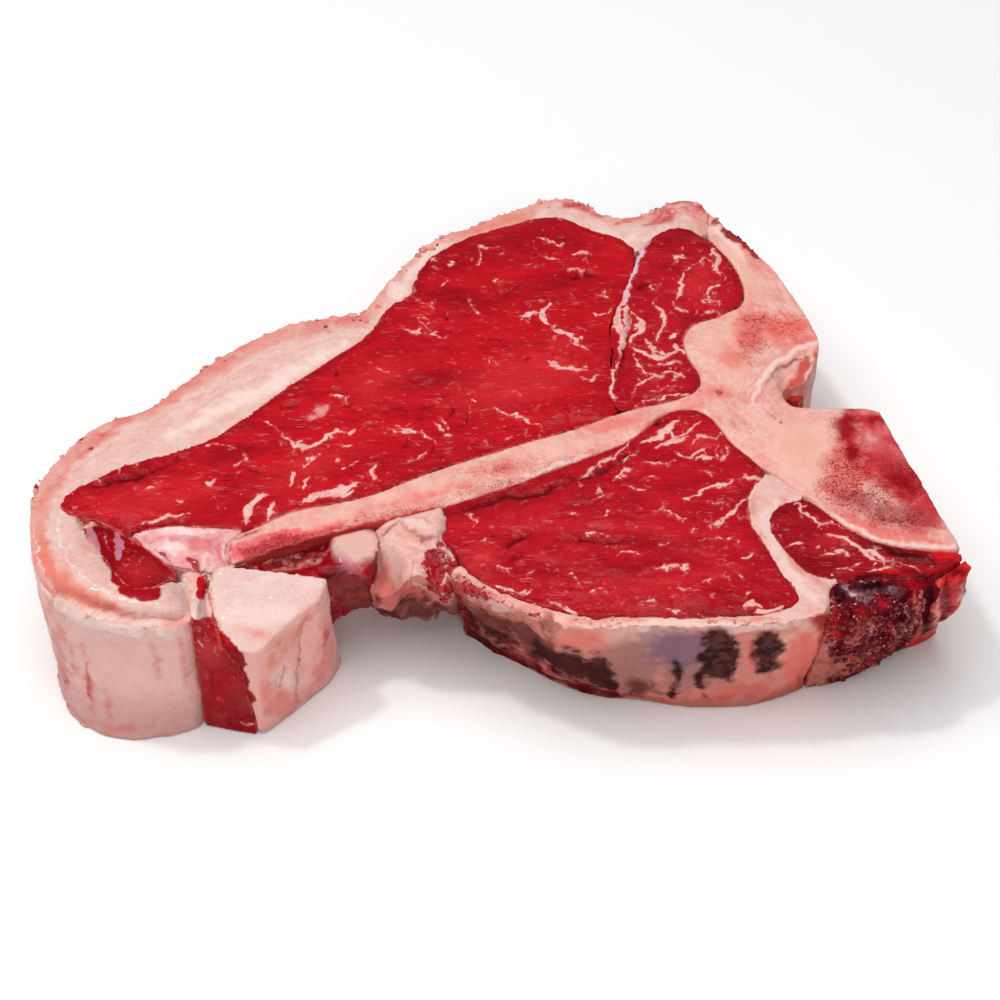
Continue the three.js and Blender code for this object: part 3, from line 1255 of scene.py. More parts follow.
@dataclass
class Piece:
    """A column of the steak.

    Attributes:
        node: the frame's solid that it stands for.
        slot: its material slot; not used.
        finish: its surface.
        voxel: size of its faces, in millimetres.
        rise: how far its cut face stands over the shared relief. None keeps the solid's own top.
        reach: how far its hidden walls go into its neighbours.
        marks: what is drawn on it.
        flecks: strokes strewn over it, by mark.
        pressed: where its whole column is pressed lower, and by how many millimetres.
        blunt: where its whole column is worn smooth.
        fine: whether its cut face has smaller faces.
        wall_rounds, rim_rounds: how often the walls and the rims are relaxed.
        spongy: how much further stains reach in the middle of hidden walls, in millimetres.
        wall_from, face_from: shares past which a point counts as a wall's and as the cut face's.
        wall_carry, face_carry: how far the moves of both are carried past them, in edges.
        face_rounds, worn_rounds: how often a top that keeps its shape and a worn spot are relaxed.
        snug: distances from a neighbour between which a wall stops being pushed into it.
        sinking: distances from a pressed spot's rim between which the column sinks.
        wavers: length and height of the wavers that marks get, in millimetres.
        wander: length and height of the swells by which marks stray on the underside.
    """

    node: str
    slot: Slot
    finish: Finish
    voxel: float = 0.6
    rise: float | None = 0.0
    reach: float = 0.3
    marks: dict[str, tuple[Mark, ...]] = field(default_factory=dict)
    flecks: dict[str, Flecks] = field(default_factory=dict)
    pressed: tuple[tuple[Mark, float], ...] = ()
    blunt: tuple[Mark, ...] = ()
    fine: bool = False
    wall_rounds: int = 60
    rim_rounds: int = 3
    spongy: float = 0.0

    wall_from, face_from = 0.02, 0.9
    wall_carry, face_carry = 8, 10
    face_rounds, worn_rounds = 120, 60
    snug = (0.5, 1.1)
    sinking = (3.5, -2.0)
    wavers = ((3.2, 0.42), (1.3, 0.3))
    wander = (7.0, 5.0)

    def build(self, relief: Relief) -> bpy.types.Object:
        """Make the piece.

        Args:
            relief: the shared cut face.

        Returns:
            The finished object, riding on the steak's body.
        """
        surface = Surface(self.node, self.voxel)
        if self.fine:
            surface.refine_top()
        top, under, wall = self.sides(surface)
        self.even_out(surface, relief, top, wall)
        others = [name for name in sorted(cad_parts) if name != self.node]
        gap = distances(surface.co, others, GAP_FAR)
        self.close_gaps(surface, gap)
        seam = distances(surface.co, [name for name in others if name not in LEAN_NODES], FAR)
        marks = self.drawn(surface, under)
        rim = relief.read(relief.inside, surface.co)
        self.shape(surface, top, wall, gap, marks)
        self.press(surface)
        low, high = (np.array(corner) / MM for corner in CAD_BOX)
        surface.co = np.clip(surface.co, low, high)
        for name, values in self.common(surface, wall, gap).items():
            surface.store(name, values)
        for name, values in {"seam": seam, "rim": rim + 8 * ramp(wall, 0.4, 0.8), **marks}.items():
            surface.store(name, values)
        piece = surface.finished(self.node + "_cut", self.finish.material(self.node + "_finish"))
        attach(piece, "root")
        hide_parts(self.node)
        LOG.info("%s: %d faces", piece.name, len(piece.data.polygons))
        return piece

    def common(self, surface: Surface, wall: Array, gap: Array) -> Marks:
        """Work out the marks that every piece carries, but for its seam and its rim.

        Args:
            surface: the shaped mesh.
            wall: how far each point belongs to the walls.
            gap: each point's distance from its neighbours.

        Returns:
            One distance or share for each point, by mark.
        """
        up = surface.normal[:, 2]
        height = surface.co[:, 2]
        hidden = ramp(surface.normal @ VIEW.sight, 0.0, 0.3) * (1 - ramp(-up, 0.5, 0.8))
        blotch = swells(surface.co * np.array([1.0, 1.0, 0.6]), 13.0, 51, 4)
        middle = self.spongy * ramp(np.minimum(height, FACE - height), 2.0, 7.0)
        return {
            "skin": 3 - 6 * ramp(wall, 0.35, 0.65) * ramp(gap, 0.33, 0.6),
            # Painted shade: "low" is the height over FOOT, and its layers darken walls towards the table.
            "low": height - FOOT,
            "stain": 1.6 - 5.0 * blotch - middle + FAR * (1 - hidden),
            "edge": np.exp(-(((up - 0.4) / 0.35) ** 2)) * ramp(gap, 0.5, 1.3),
        }

    def press(self, surface: Surface) -> None:
        """Lower the column softly where it's pressed, and smooth it where it's worn.

        Args:
            surface: the mesh.
        """
        flat = surface.co.copy()
        flat[:, 2] = FACE
        places = VIEW.places(flat)
        for mark, depth in self.pressed:
            share = ramp(mark.distance(places) / VIEW.scale, *self.sinking)
            surface.co[:, 2] *= 1 - share * depth / FACE
        for mark in self.blunt:
            worn = mark.distance(places) < 0
            surface.co = surface.relaxed(surface.co, worn, self.worn_rounds, alone=False)

    def sides(self, surface: Surface) -> tuple[Array, Array, Array]:
        """Tell the sides of the column apart.

        Args:
            surface: the mesh.

        Returns:
            How far each point belongs to the cut face, the underside and the walls.
        """
        up = surface.normal[:, 2]
        under = ramp(-up, *TURN) * (surface.co[:, 2] < LOW_HALF)
        return ramp(up, *TURN), under, 1 - ramp(np.abs(up), *TURN)

    def even_out(self, surface: Surface, relief: Relief, top: Array, wall: Array) -> None:
        """Take the facets of the solid out of the walls and the cut face.

        Args:
            surface: the mesh.
            relief: the shared cut face.
            top, wall: how far each point belongs to the cut face and the walls.
        """
        upright = wall > self.wall_from
        flat = surface.co[:, :2]
        moved = surface.relaxed(flat, upright, self.wall_rounds) - flat
        surface.co[:, :2] += surface.spread(moved, upright, self.wall_carry)
        facing = top > self.face_from
        if self.rise is None:
            aim = surface.relaxed(surface.co[:, 2:], facing, self.face_rounds)
        else:
            aim = relief.read(relief.height, surface.co)[:, None] + self.rise
        surface.co[:, 2:] += surface.spread(aim - surface.co[:, 2:], facing, self.face_carry)
        level = np.abs(surface.normal[:, 2])
        turning = ramp(level, 0.1, 0.3) * (level < 0.97) > 0.5
        surface.co = surface.relaxed(surface.co, turning, self.rim_rounds, alone=False)
        surface.normal = surface.normals()

    def close_gaps(self, surface: Surface, gap: Array) -> None:
        """Push hidden walls a little way into the neighbours, so that no gap shows.

        Args:
            surface: the mesh.
            gap: each point's distance from the neighbours.
        """
        near = 1 - ramp(gap, *self.snug)
        flat = surface.normal[:, :2]
        surface.co[:, :2] += flat * (near * self.reach)[:, None]

    def drawn(self, surface: Surface, under: Array) -> Marks:
        """Draw the piece's own marks on it.

        Args:
            surface: the mesh, before it's shaped.
            under: how far each point belongs to the underside.

        Returns:
            Each point's distance from each mark, in millimetres.
        """
        shown = surface.co.copy()
        below = under > 0.5
        turned = ramp(surface.normal @ VIEW.sight, 0.05, 0.35) * (1 - ramp(under, 0.2, 0.6))
        length, height = self.wander
        strayed = [swell(shown[below], length, seed) for seed in (3, 4, 5)]
        shown[below] += height * np.stack(strayed, axis=1)
        shown[below, 2] = FACE
        places = VIEW.places(shown)
        for length, height in self.wavers:
            waver = np.stack([swell(surface.co, length, seed) for seed in (6, 8)], axis=1)
            places += waver * height * VIEW.scale
        face = places[surface.normal[:, 2] > 0.7]
        reach = FAR * VIEW.scale
        result = {}
        for name in sorted({*self.marks, *self.flecks}):
            strokes: list[Mark] = list(self.marks.get(name, ()))
            if name == "vein":
                strokes += Twigs(seed=61).grown(strokes)
            if name in self.flecks:
                strokes += self.flecks[name].strokes(face.min(0), face.max(0))
            distance = np.full(len(places), FAR)
            for stroke in strokes:
                low, high = stroke.box()
                near = np.all((places > low - reach) & (places < high + reach), axis=1)
                away = stroke.distance(places[near]) / VIEW.scale
                distance[near] = np.minimum(distance[near], away)
            bare = np.maximum(turned, under) if name in UPPER_ONLY else turned
            result[name] = distance + FAR * bare
        return result

    def shape(self, surface: Surface, top: Array, wall: Array, gap: Array, marks: Marks) -> None:
        """Give the piece its own relief.

        Args:
            surface: the mesh.
            top, wall: how far each point belongs to the cut face and the walls.
            gap: its distance from the neighbours.
            marks: its distance from each mark.
        """
        raise NotImplementedError


@dataclass
class Muscle(Piece):
    """Lean, cut across its fibres.

    Attributes:
        ragged: how far its walls and rims stray, as a share of the usual.
    """

    ragged: float = 1.0

    def shape(self, surface: Surface, top: Array, wall: Array, gap: Array, marks: Marks) -> None:
        """Soft furrows across the cut, sunken slits, and a ragged rim.

        Args:
            surface: the mesh.
            top, wall: how far each point belongs to the cut face and the walls.
            gap: its distance from the neighbours.
            marks: its distance from each mark.
        """
        co = surface.co
        pulled = co * np.array([0.35, 1.0, 1.0])
        lift = 0.32 * swells(pulled, 5.0, 11) + 0.13 * swells(co, 1.9, 12)
        if "slit" in marks:
            lift -= 0.8 * ramp(-marks["slit"], -0.8, 0.3)
        if "vein" in marks:
            lift += 0.10 * ramp(-marks["vein"], -0.5, 0.2)
        edge = 1 - ramp(gap, 0.3, 1.5)
        co[:, 2] += top * lift * (1 - 0.5 * edge)
        rag = 0.45 * swells(co, 4.0, 13) + 0.25 * swells(co, 1.6, 14)
        co[:, :2] += surface.normal[:, :2] * (self.ragged * rag * (wall + edge * (1 - top)))[:, None]


@dataclass
class Fat(Piece):
    """Firm fat with a cut face and an outer skin.

    Attributes:
        lump: height of the lumps on its outside, in millimetres.
        ragged: height of the tatters on its rim.
        swollen: height of the swells of its cut face.
        ridge_height: height of its ridges.
    """

    lump: float = 0.45
    ragged: float = 0.5
    swollen: float = 0.0
    ridge_height: float = 1.2

    def shape(self, surface: Surface, top: Array, wall: Array, gap: Array, marks: Marks) -> None:
        """Lumps on the outside, a soft cut face, and a torn rim where it's marked.

        Args:
            surface: the mesh.
            top, wall: how far each point belongs to the cut face and the walls.
            gap: its distance from the neighbours.
            marks: its distance from each mark.
        """
        co = surface.co
        outer = ramp(gap, 0.4, 1.2)
        lumps = self.lump * swells(co, 9.0, 21) + 0.45 * self.lump * swells(co, 3.2, 22)
        torn = ramp(-marks["rags"], -1.5, 0.5) if "rags" in marks else 0.25
        slope = np.exp(-(((surface.normal[:, 2] - 0.45) / 0.32) ** 2))
        rags = self.ragged * slope * torn * (swells(co, 2.2, 23) + 0.6 * swells(co, 0.9, 26))
        push = np.maximum(wall, slope) * outer * (lumps + rags - 0.2)
        co += surface.normal * push[:, None]
        soft = 0.2 * swells(co, 6.0, 24) + 0.09 * swells(co, 1.8, 25)
        soft += self.swollen * swells(co, 9.0, 27)
        co[:, 2] += top * (soft - 0.2 * (1 - outer))
        for name, depth in (("crease", -0.75), ("ridge", self.ridge_height), ("fold", 0.8)):
            if name in marks:
                co += surface.normal * (depth * ramp(-marks[name], -1.8, 0.6))[:, None]
        if "sunk" in marks:
            co[:, 2] -= 2.5 * top * ramp(-marks["sunk"], -0.5, 0.5)


@dataclass
class SawnBone(Piece):
    """Bone cut by a saw: flat, pitted, sharp at its rim."""

    def shape(self, surface: Surface, top: Array, wall: Array, gap: Array, marks: Marks) -> None:
        """A faint roughness, with pits where it's porous.

        Args:
            surface: the mesh.
            top, wall: how far each point belongs to the cut face and the walls.
            gap: its distance from the neighbours.
            marks: its distance from each mark.
        """
        co = surface.co
        lift = 0.10 * swells(co, 8.0, 31) + 0.04 * swells(co, 1.5, 32)
        if "pores" in marks:
            lift -= 0.16 * ramp(-marks["pores"], -1.0, 1.0) * np.maximum(swells(co, 0.9, 33), 0)
        if "ridge" in marks:
            lift += 0.7 * ramp(-marks["ridge"], -1.0, 0.8)
        if "hollow" in marks:
            lift -= 1.8 * ramp(-marks["hollow"], -2.4, 1.2)
        co[:, 2] += top * lift
        outer = ramp(gap, 0.4, 1.2)
        co += surface.normal * (wall * outer * (0.2 * swells(co, 5.0, 34) - 0.1))[:, None]


@dataclass
class Tatters(Piece):
    """Torn, wet lean with folds and crumbs.

    Attributes:
        fold: height of the folds, in millimetres.
        bulge: how far its smooth lump stands out, in millimetres.
    """

    fold: float = 1.3
    bulge: float = 1.4

    def shape(self, surface: Surface, top: Array, wall: Array, gap: Array, marks: Marks) -> None:
        """Folds along one direction with crumbs over them.

        Args:
            surface: the mesh.
            top, wall: how far each point belongs to the cut face and the walls.
            gap: its distance from the neighbours.
            marks: its distance from each mark.
        """
        co = surface.co
        outer = np.maximum(top, ramp(gap, 0.3, 1.0) * wall)
        leaning = co @ np.array([[0.45, 0.0, 0.0], [0.0, 1.0, 0.35], [0.0, -0.35, 1.0]])
        ridges = 1 - 2 * np.abs(swells(leaning, 5.0, 41))
        crumbs = swells(co, 2.2, 42) + 0.5 * swells(co, 1.0, 43)
        push = self.fold * (0.55 * ridges - 0.45) + 0.32 * self.fold * crumbs
        if "lump" in marks:
            smooth = ramp(-marks["lump"], -3.0, 0.5)
            push += (self.bulge - push) * smooth
        co += surface.normal * (outer * push)[:, None]


@dataclass
class Crumbs:
    """Crumbs strewn over pieces by geometry nodes, as one plain mesh.

    Attributes:
        name: the name of the mesh.
        slot: their material slot; not used.
        finish: their surface.
        hosts: the nodes whose pieces carry them.
        mark: the stored distance that says where they lie.
        density: how many to a square millimetre.
        sizes: smallest and largest radius, in millimetres.
        edge: whether they keep to the rim of the cut face.
        seed: picks the draw.
        inputs: what the node tree takes besides a mesh.
        squash: least and most by which a crumb is stretched along its own axes.
        rough: size of the swells that bend crumbs out of round, in millimetres.
        shift: how far those move them, in millimetres.
    """

    name: str
    slot: Slot
    finish: Finish
    hosts: tuple[str, ...]
    mark: str
    density: float
    sizes: Place
    edge: bool = True
    seed: int = 1

    inputs = (("Density", "Float"), ("Smallest", "Float"), ("Largest", "Float"), ("Seed", "Int"))
    squash = {"Min": (0.8, 0.8, 0.5), "Max": (1.3, 1.0, 0.9)}
    rough = 0.9
    shift = 1.5

    def tree(self, material: bpy.types.Material) -> bpy.types.NodeTree:
        """Build the node tree that strews them.

        Args:
            material: what they're made of.

        Returns:
            The tree, from a host's mesh to the crumbs alone.
        """
        tree = bpy.data.node_groups.new("strew_" + self.name, "GeometryNodeTree")
        tree.interface.new_socket("Geometry", in_out="INPUT", socket_type="NodeSocketGeometry")
        for name, kind in self.inputs:
            tree.interface.new_socket(name, in_out="INPUT", socket_type=f"NodeSocket{kind}")
        tree.interface.new_socket("Geometry", in_out="OUTPUT", socket_type="NodeSocketGeometry")
        wiring = Wiring(tree)
        source = wiring.add("NodeGroupInput").outputs
        here = wiring.rise(wiring.stored(self.mark), 0.5, -0.5)
        if self.edge:
            here = wiring.times(here, wiring.stored("edge"))
        density = wiring.times(wiring.times(source["Density"], here), 1 / MM**2)
        feeds = {"Mesh": source["Geometry"], "Density": density, "Seed": source["Seed"]}
        points = wiring.add("GeometryNodeDistributePointsOnFaces", feeds).outputs
        ball = wiring.add("GeometryNodeMeshIcoSphere", {"Radius": MM, "Subdivisions": 2}).outputs[0]
        size = wiring.add("FunctionNodeRandomValue", self.squash, data_type="FLOAT_VECTOR").outputs[0]
        lot = wiring.add("FunctionNodeRandomValue", {2: 0.0, 3: 1.0, "Seed": 3}, data_type="FLOAT")
        small = wiring.math("POWER", lot.outputs[1], 2.0)
        radius = wiring.level(small, source["Smallest"], source["Largest"])
        scale = wiring.vector("SCALE", {0: size, "Scale": radius})
        feeds = {
            "Points": points["Points"], "Instance": ball, "Rotation": points["Rotation"], "Scale": scale,
        }
        placed = wiring.add("GeometryNodeInstanceOnPoints", feeds).outputs[0]
        real = wiring.add("GeometryNodeRealizeInstances", {0: placed}).outputs[0]
        feeds = {"Scale": 1 / (self.rough * MM), "Detail": 2.0}
        noise = wiring.add("ShaderNodeTexNoise", feeds).outputs["Color"]
        middle = wiring.vector("SUBTRACT", {0: noise, 1: (0.5, 0.5, 0.5)})
        shift = wiring.vector("SCALE", {0: middle, "Scale": self.shift * MM})
        moved = wiring.add("GeometryNodeSetPosition", {"Geometry": real, "Offset": shift}).outputs[0]
        feeds = {"Geometry": moved, "Material": material}
        painted = wiring.add("GeometryNodeSetMaterial", feeds).outputs[0]
        wiring.add("NodeGroupOutput", {"Geometry": painted})
        return tree

    def strewn(self, host: bpy.types.Object, tree: bpy.types.NodeTree) -> bpy.types.Mesh:
        """Strew them on one host and take the plain mesh.

        Args:
            host: the piece that carries them.
            tree: the node tree.

        Returns:
            The crumbs' mesh.
        """
        sockets = {item.name: item.identifier for item in tree.interface.items_tree if item.in_out == "INPUT"}
        modifier = host.modifiers.new("strew", "NODES")
        modifier.node_group = tree
        values = (self.density, *self.sizes, self.seed)
        for (name, _), value in zip(self.inputs, values):
            modifier[sockets[name]] = value
        shown = host.evaluated_get(bpy.context.evaluated_depsgraph_get())
        mesh = bpy.data.meshes.new_from_object(shown)
        host.modifiers.remove(modifier)
        return mesh

    def build(self, pieces: dict[str, bpy.types.Object]) -> bpy.types.Object:
        """Make the crumbs.

        Args:
            pieces: the finished pieces by node.

        Returns:
            One object with all of them, kept inside the steak's box.
        """
        material = self.finish.material(self.name + "_finish")
        tree = self.tree(material)
        work = bmesh.new()
        for host in self.hosts:
            work.from_mesh(self.strewn(pieces[host], tree))
        low, high = CAD_BOX
        for vertex in work.verts:
            vertex.co = [min(max(value, low[axis]), high[axis]) for axis, value in enumerate(vertex.co)]
        mesh = bpy.data.meshes.new(self.name)
        work.to_mesh(mesh)
        work.free()
        mesh.materials.clear()
        mesh.materials.append(material)
        mesh.shade_smooth()
        crumbs = bpy.data.objects.new(self.name, mesh)
        bpy.context.scene.collection.objects.link(crumbs)
        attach(crumbs, "root")
        LOG.info("%s: %d faces", crumbs.name, len(mesh.polygons))
        return crumbs


# ---- The steak -----------------------------------------------------------------------------------

LEAN_NODES = ("strip_loin", "multifidus", "tenderloin", "side_muscle", "tail_lean", "tail_layer")
RISES = {
    "bone": 0.6, "strip_loin": 0.2, "multifidus": 0.1, "tenderloin": 0.2, "side_muscle": -0.2,
    "tail_lean": -0.3, "gristle": 0.3, "tenderloin_fat": 0.0, "fat_cap": 0.0,
}

PALE_FAT = (236, 203, 194)
PINK_FAT = (224, 158, 148)
BRIGHT_RED = (205, 23, 36)
DEEP_RED = (162, 10, 24)

VEIN = (
    Layer("vein", (212, 70, 72), feather=0.6, tear=0.4, reach=0.2, strength=0.45),
    Layer("vein", (240, 186, 180), feather=0.24, tear=0.46, reach=-0.05, height=0.05, broken=0.3),
)
FLECK = Layer("fleck", (226, 120, 116), feather=0.3, tear=0.3, strength=0.65, reach=0.05, broken=0.6)
# Painted shade: the dark red in slits and fissures stands for the shade inside them.
SLIT_SHADE = Layer("slit", (92, 4, 12), feather=0.5, tear=0.3, strength=0.85)
FRINGE = Layer("seam", (226, 112, 106), feather=0.7, tear=0.7, reach=0.25, strength=0.75)
EDGE_SHADE = Layer("seam", (138, 10, 22), feather=4.0, tear=0.8, reach=2.0, strength=0.45)
SHADE = Layer("shade", (132, 8, 20), feather=5.0, tear=1.4, strength=0.6)
GLOW = Layer("glow", (216, 48, 54), feather=6.0, tear=1.6, strength=0.5)


def grit(pale: Colour, deep: Colour, **settings: float) -> Finish:
    """The finish of crumbs: wet, with no light inside unless it's asked for."""
    return Finish(Ground.BONE, pale, deep, **{"glow": 0.0, **settings})


def lean(pale: Colour, deep: Colour, *more: Layer, **settings: float) -> Finish:
    """A muscle's finish with marbling, slits painted in shade and a fringe at its seams."""
    layers = (EDGE_SHADE, GLOW, SHADE, FRINGE, FLECK, *VEIN, SLIT_SHADE, *more)
    return Finish(Ground.MUSCLE, pale, deep, layers, glow=0.1, depth=0.6, **settings)


def strip_loin() -> Muscle:
    """The large muscle above the bone's arm.

    Returns:
        The muscle, ready to be built.
    """
    veins = (
        line(4, (282, 434), (288, 439), (294, 447), (304, 448), (318, 442), (331, 434), (351, 432)),
        line(1.6, (331, 394), (340, 398), (348, 403)), line(1.4, (256, 419), (268, 424), (280, 432)),
        line(2.6, (395, 426), (415, 431), (430, 437), (436, 442)),
        line(2, (434, 422), (442, 430), (447, 436)), line(2.4, (341, 445), (346, 448), (351, 447)),
        line(2, (336, 456), (337, 461), (342, 460)), line(3.6, (372, 482), (373, 474), (375, 466)),
        line(2.4, (303, 469), (311, 461), (318, 454)), line(5, (289, 487), (291, 475), (290, 471)),
        line(3.4, (302, 490), (306, 484), (308, 478)),
        line(8, (302, 503), (322, 495), (337, 493), (353, 484), (361, 484)),
        line(5, (337, 493), (348, 495), (356, 490)), line(2, (469, 399), (475, 402)),
        line(2.2, (493, 408), (506, 412), (520, 417), (534, 423), (545, 430)),
        line(2.2, (400, 325), (415, 332), (430, 336), (443, 339)),
        line(6, (551, 304), (543, 309), (542, 315), (549, 325)),
        line(4.4, (549, 325), (563, 331), (572, 339), (580, 345)),
        line(2.4, (572, 337), (584, 346), (590, 353)), line(3.4, (543, 311), (530, 313), (522, 321)),
        line(2.6, (545, 363), (560, 366), (576, 368), (590, 370)),
        line(3.6, (570, 258), (579, 253), (592, 252)), line(1.8, (385, 428), (402, 431), (420, 433)),
        line(1.4, (440, 415), (445, 424), (450, 432)),
        line(7, (243, 526), (246, 514), (252, 502), (262, 491)),
        line(4.4, (266, 522), (269, 512), (272, 503)),
        line(3.6, (141, 524), (158, 519), (172, 515), (192, 515)),
        line(2.4, (118, 466), (120, 470), (121, 475)), line(2, (137, 461), (138, 468)),
        line(2, (94, 476), (99, 481)), line(2.2, (145, 491), (150, 488), (155, 488)),
        line(4, (205, 483), (211, 485), (217, 480)), line(2.6, (176, 497), (181, 500), (184, 499)),
        line(1.6, (417, 317), (424, 325), (432, 334)), line(1.8, (424, 332), (436, 337), (444, 340)),
        line(1.6, (478, 246), (481, 255), (481, 262)), line(1.4, (478, 249), (492, 248), (503, 247)),
        line(2.0, (537, 239), (550, 242), (563, 246)), line(1.8, (593, 315), (602, 313), (612, 311)),
        line(1.6, (440, 285), (446, 282), (450, 281)), line(1.8, (431, 263), (435, 258), (437, 256)),
        line(2, (448, 263), (452, 265), (455, 261)), line(2.0, (418, 300), (428, 304), (432, 301)),
        line(1.5, (569, 270), (578, 272), (586, 270)), line(1.5, (605, 290), (604, 295), (608, 298)),
        line(1.8, (585, 432), (570, 440), (556, 444)), line(1.6, (512, 435), (505, 441)),
        line(1.6, (486, 357), (494, 360), (498, 364)), line(1.5, (376, 367), (384, 371), (390, 372)),
        line(1.4, (600, 375), (590, 380), (580, 379)), line(1.4, (466, 295), (470, 308), (484, 317)),
        line(1.4, (413, 312), (421, 317), (430, 319)), line(1.2, (492, 278), (498, 281), (503, 279)),
        line(1.4, (576, 327), (582, 328), (587, 331)), line(1.3, (540, 254), (552, 258), (560, 259)),
        line(1.5, (232, 466), (240, 463), (246, 459)), line(1.3, (206, 446), (222, 444), (236, 447)),
        line(1.3, (341, 470), (350, 463), (358, 461)), line(1.6, (408, 462), (420, 458), (428, 452)),
    )
    slits = (
        line(2, (453, 403), (452, 409), (450, 415)), line(1.8, (469, 416), (465, 421), (461, 426)),
        line(1.8, (409, 439), (405, 444), (402, 449)), line(1.6, (436, 442), (434, 447), (433, 452)),
        line(1.8, (337, 368), (335, 377)), line(1.6, (362, 427), (377, 423)),
        line(1.6, (420, 406), (432, 404)), line(1.8, (282, 406), (298, 402)),
        line(2.2, (448, 316), (446, 313)), line(1.6, (566, 277), (584, 274), (598, 275)),
        line(3, (92, 485), (110, 482), (134, 478), (152, 470), (172, 462)),
        line(1.6, (172, 462), (180, 457), (188, 455)), line(1.6, (272, 396), (280, 391), (290, 388)),
        line(2, (131, 531), (150, 525), (170, 523), (190, 522)), line(1.4, (252, 470), (262, 472)),
        line(1.4, (505, 295), (512, 289)), line(1.5, (524, 360), (534, 357)),
    )
    shade = (
        line(12, (92, 486), (134, 479), (172, 463)),
        line(10, (412, 300), (425, 268), (455, 244), (500, 232), (560, 222)),
        line(20, (440, 270), (480, 246), (530, 236), (600, 245)),
        line(8, (150, 450), (220, 430), (270, 398), (350, 350)), spot(460, 300, 24, 9, 10),
        spot(560, 285, 30, 6), spot(230, 455, 30, 8, -15), spot(430, 380, 30, 7, -5),
    )
    glow = (
        line(9, (470, 238), (500, 228), (540, 220)), spot(520, 380, 70, 24, -15), spot(150, 500, 50, 14, -8),
        spot(380, 380, 30, 14, -20), spot(300, 470, 40, 12, -20), spot(560, 345, 18, 10),
    )
    pad = (Layer("pad", (236, 146, 146), feather=0.9, tear=0.6, strength=0.85, height=0.15),)
    return Muscle(
        "strip_loin", Slot.LEAN, lean(BRIGHT_RED, DEEP_RED, *pad), voxel=0.82, rise=0.2, fine=True,
        reach=0.5,
        marks={
            "vein": veins,
            "slit": slits,
            "shade": shade,
            "glow": glow,
            "pad": (spot(321, 411, 6.5, 5.5), spot(313, 417, 4, 2.4)),
        },
        flecks={"fleck": Flecks(360, (2, 8), (0.5, 1.3), slope=(5, 24), seed=5)},
    )


def multifidus() -> Muscle:
    """The small muscle beside the backbone.

    Returns:
        The muscle, ready to be built.
    """
    veins = (
        line(7, (648, 246), (637, 260), (628, 280), (624, 301), (612, 312)),
        line(8, (618, 306), (616, 320), (622, 338), (619, 355)),
        line(7, (627, 306), (626, 325), (624, 338)),
        line(3.4, (619, 355), (614, 373), (611, 391), (614, 403)),
        line(5, (631, 312), (642, 322), (636, 335), (628, 343)),
        line(6, (641, 318), (644, 326), (640, 334)),
        line(5, (628, 343), (644, 352), (657, 359), (674, 355), (683, 350)),
        line(3.4, (653, 303), (662, 312), (665, 321), (661, 334), (656, 342)),
        line(3.4, (646, 339), (652, 349), (667, 356)),
        line(2.4, (633, 353), (639, 364), (647, 373), (660, 376), (672, 371), (684, 374)),
        line(3, (631, 392), (640, 384), (653, 376)),
        line(2.2, (636, 406), (656, 399), (678, 396), (694, 397)),
        line(4, (683, 273), (681, 280), (681, 290), (678, 300)), line(1.8, (692, 264), (684, 272)),
        line(1.4, (692, 264), (705, 257), (716, 265), (721, 281)),
        line(4.4, (712, 247), (717, 259), (719, 273)), line(3.2, (706, 297), (711, 291), (717, 283)),
        line(1.8, (700, 299), (709, 298), (721, 303)), line(2.2, (674, 302), (675, 307), (684, 313)),
        line(1.8, (671, 257), (679, 258), (686, 256)), line(5, (668, 338), (673, 335), (677, 331)),
        line(3.2, (672, 379), (680, 372), (686, 378)), line(1.6, (703, 316), (712, 311), (720, 314)),
        line(1.4, (650, 290), (658, 285)), line(2.6, (656, 366), (668, 364), (680, 362)),
        line(6, (682, 344), (690, 336), (696, 328)), line(4, (672, 345), (684, 352), (694, 352)),
        line(1.5, (650, 392), (664, 389), (676, 386)),
    )
    slits = (line(1.6, (629, 309), (628, 325), (626, 341), (619, 371)), line(1.6, (640, 288), (652, 283)))
    return Muscle(
        "multifidus", Slot.LEAN,
        lean(
            (200, 28, 42), (150, 10, 24),
            Layer("fascia", (222, 186, 204), feather=0.8, tear=0.6, strength=0.8, broken=0.15),
        ),
        voxel=0.7, rise=0.1, fine=True,
        marks={
            "fascia": (line(5, (648, 244), (637, 261), (629, 281), (624, 303), taper=0.6),),
            "vein": veins,
            "slit": slits,
            "shade": (line(10, (655, 250), (690, 232), (730, 262)),),
            "glow": (spot(700, 280, 14, 16),),
        },
        flecks={"fleck": Flecks(120, (2, 6), (0.6, 1.6), slope=(-20, 50), seed=9)},
    )


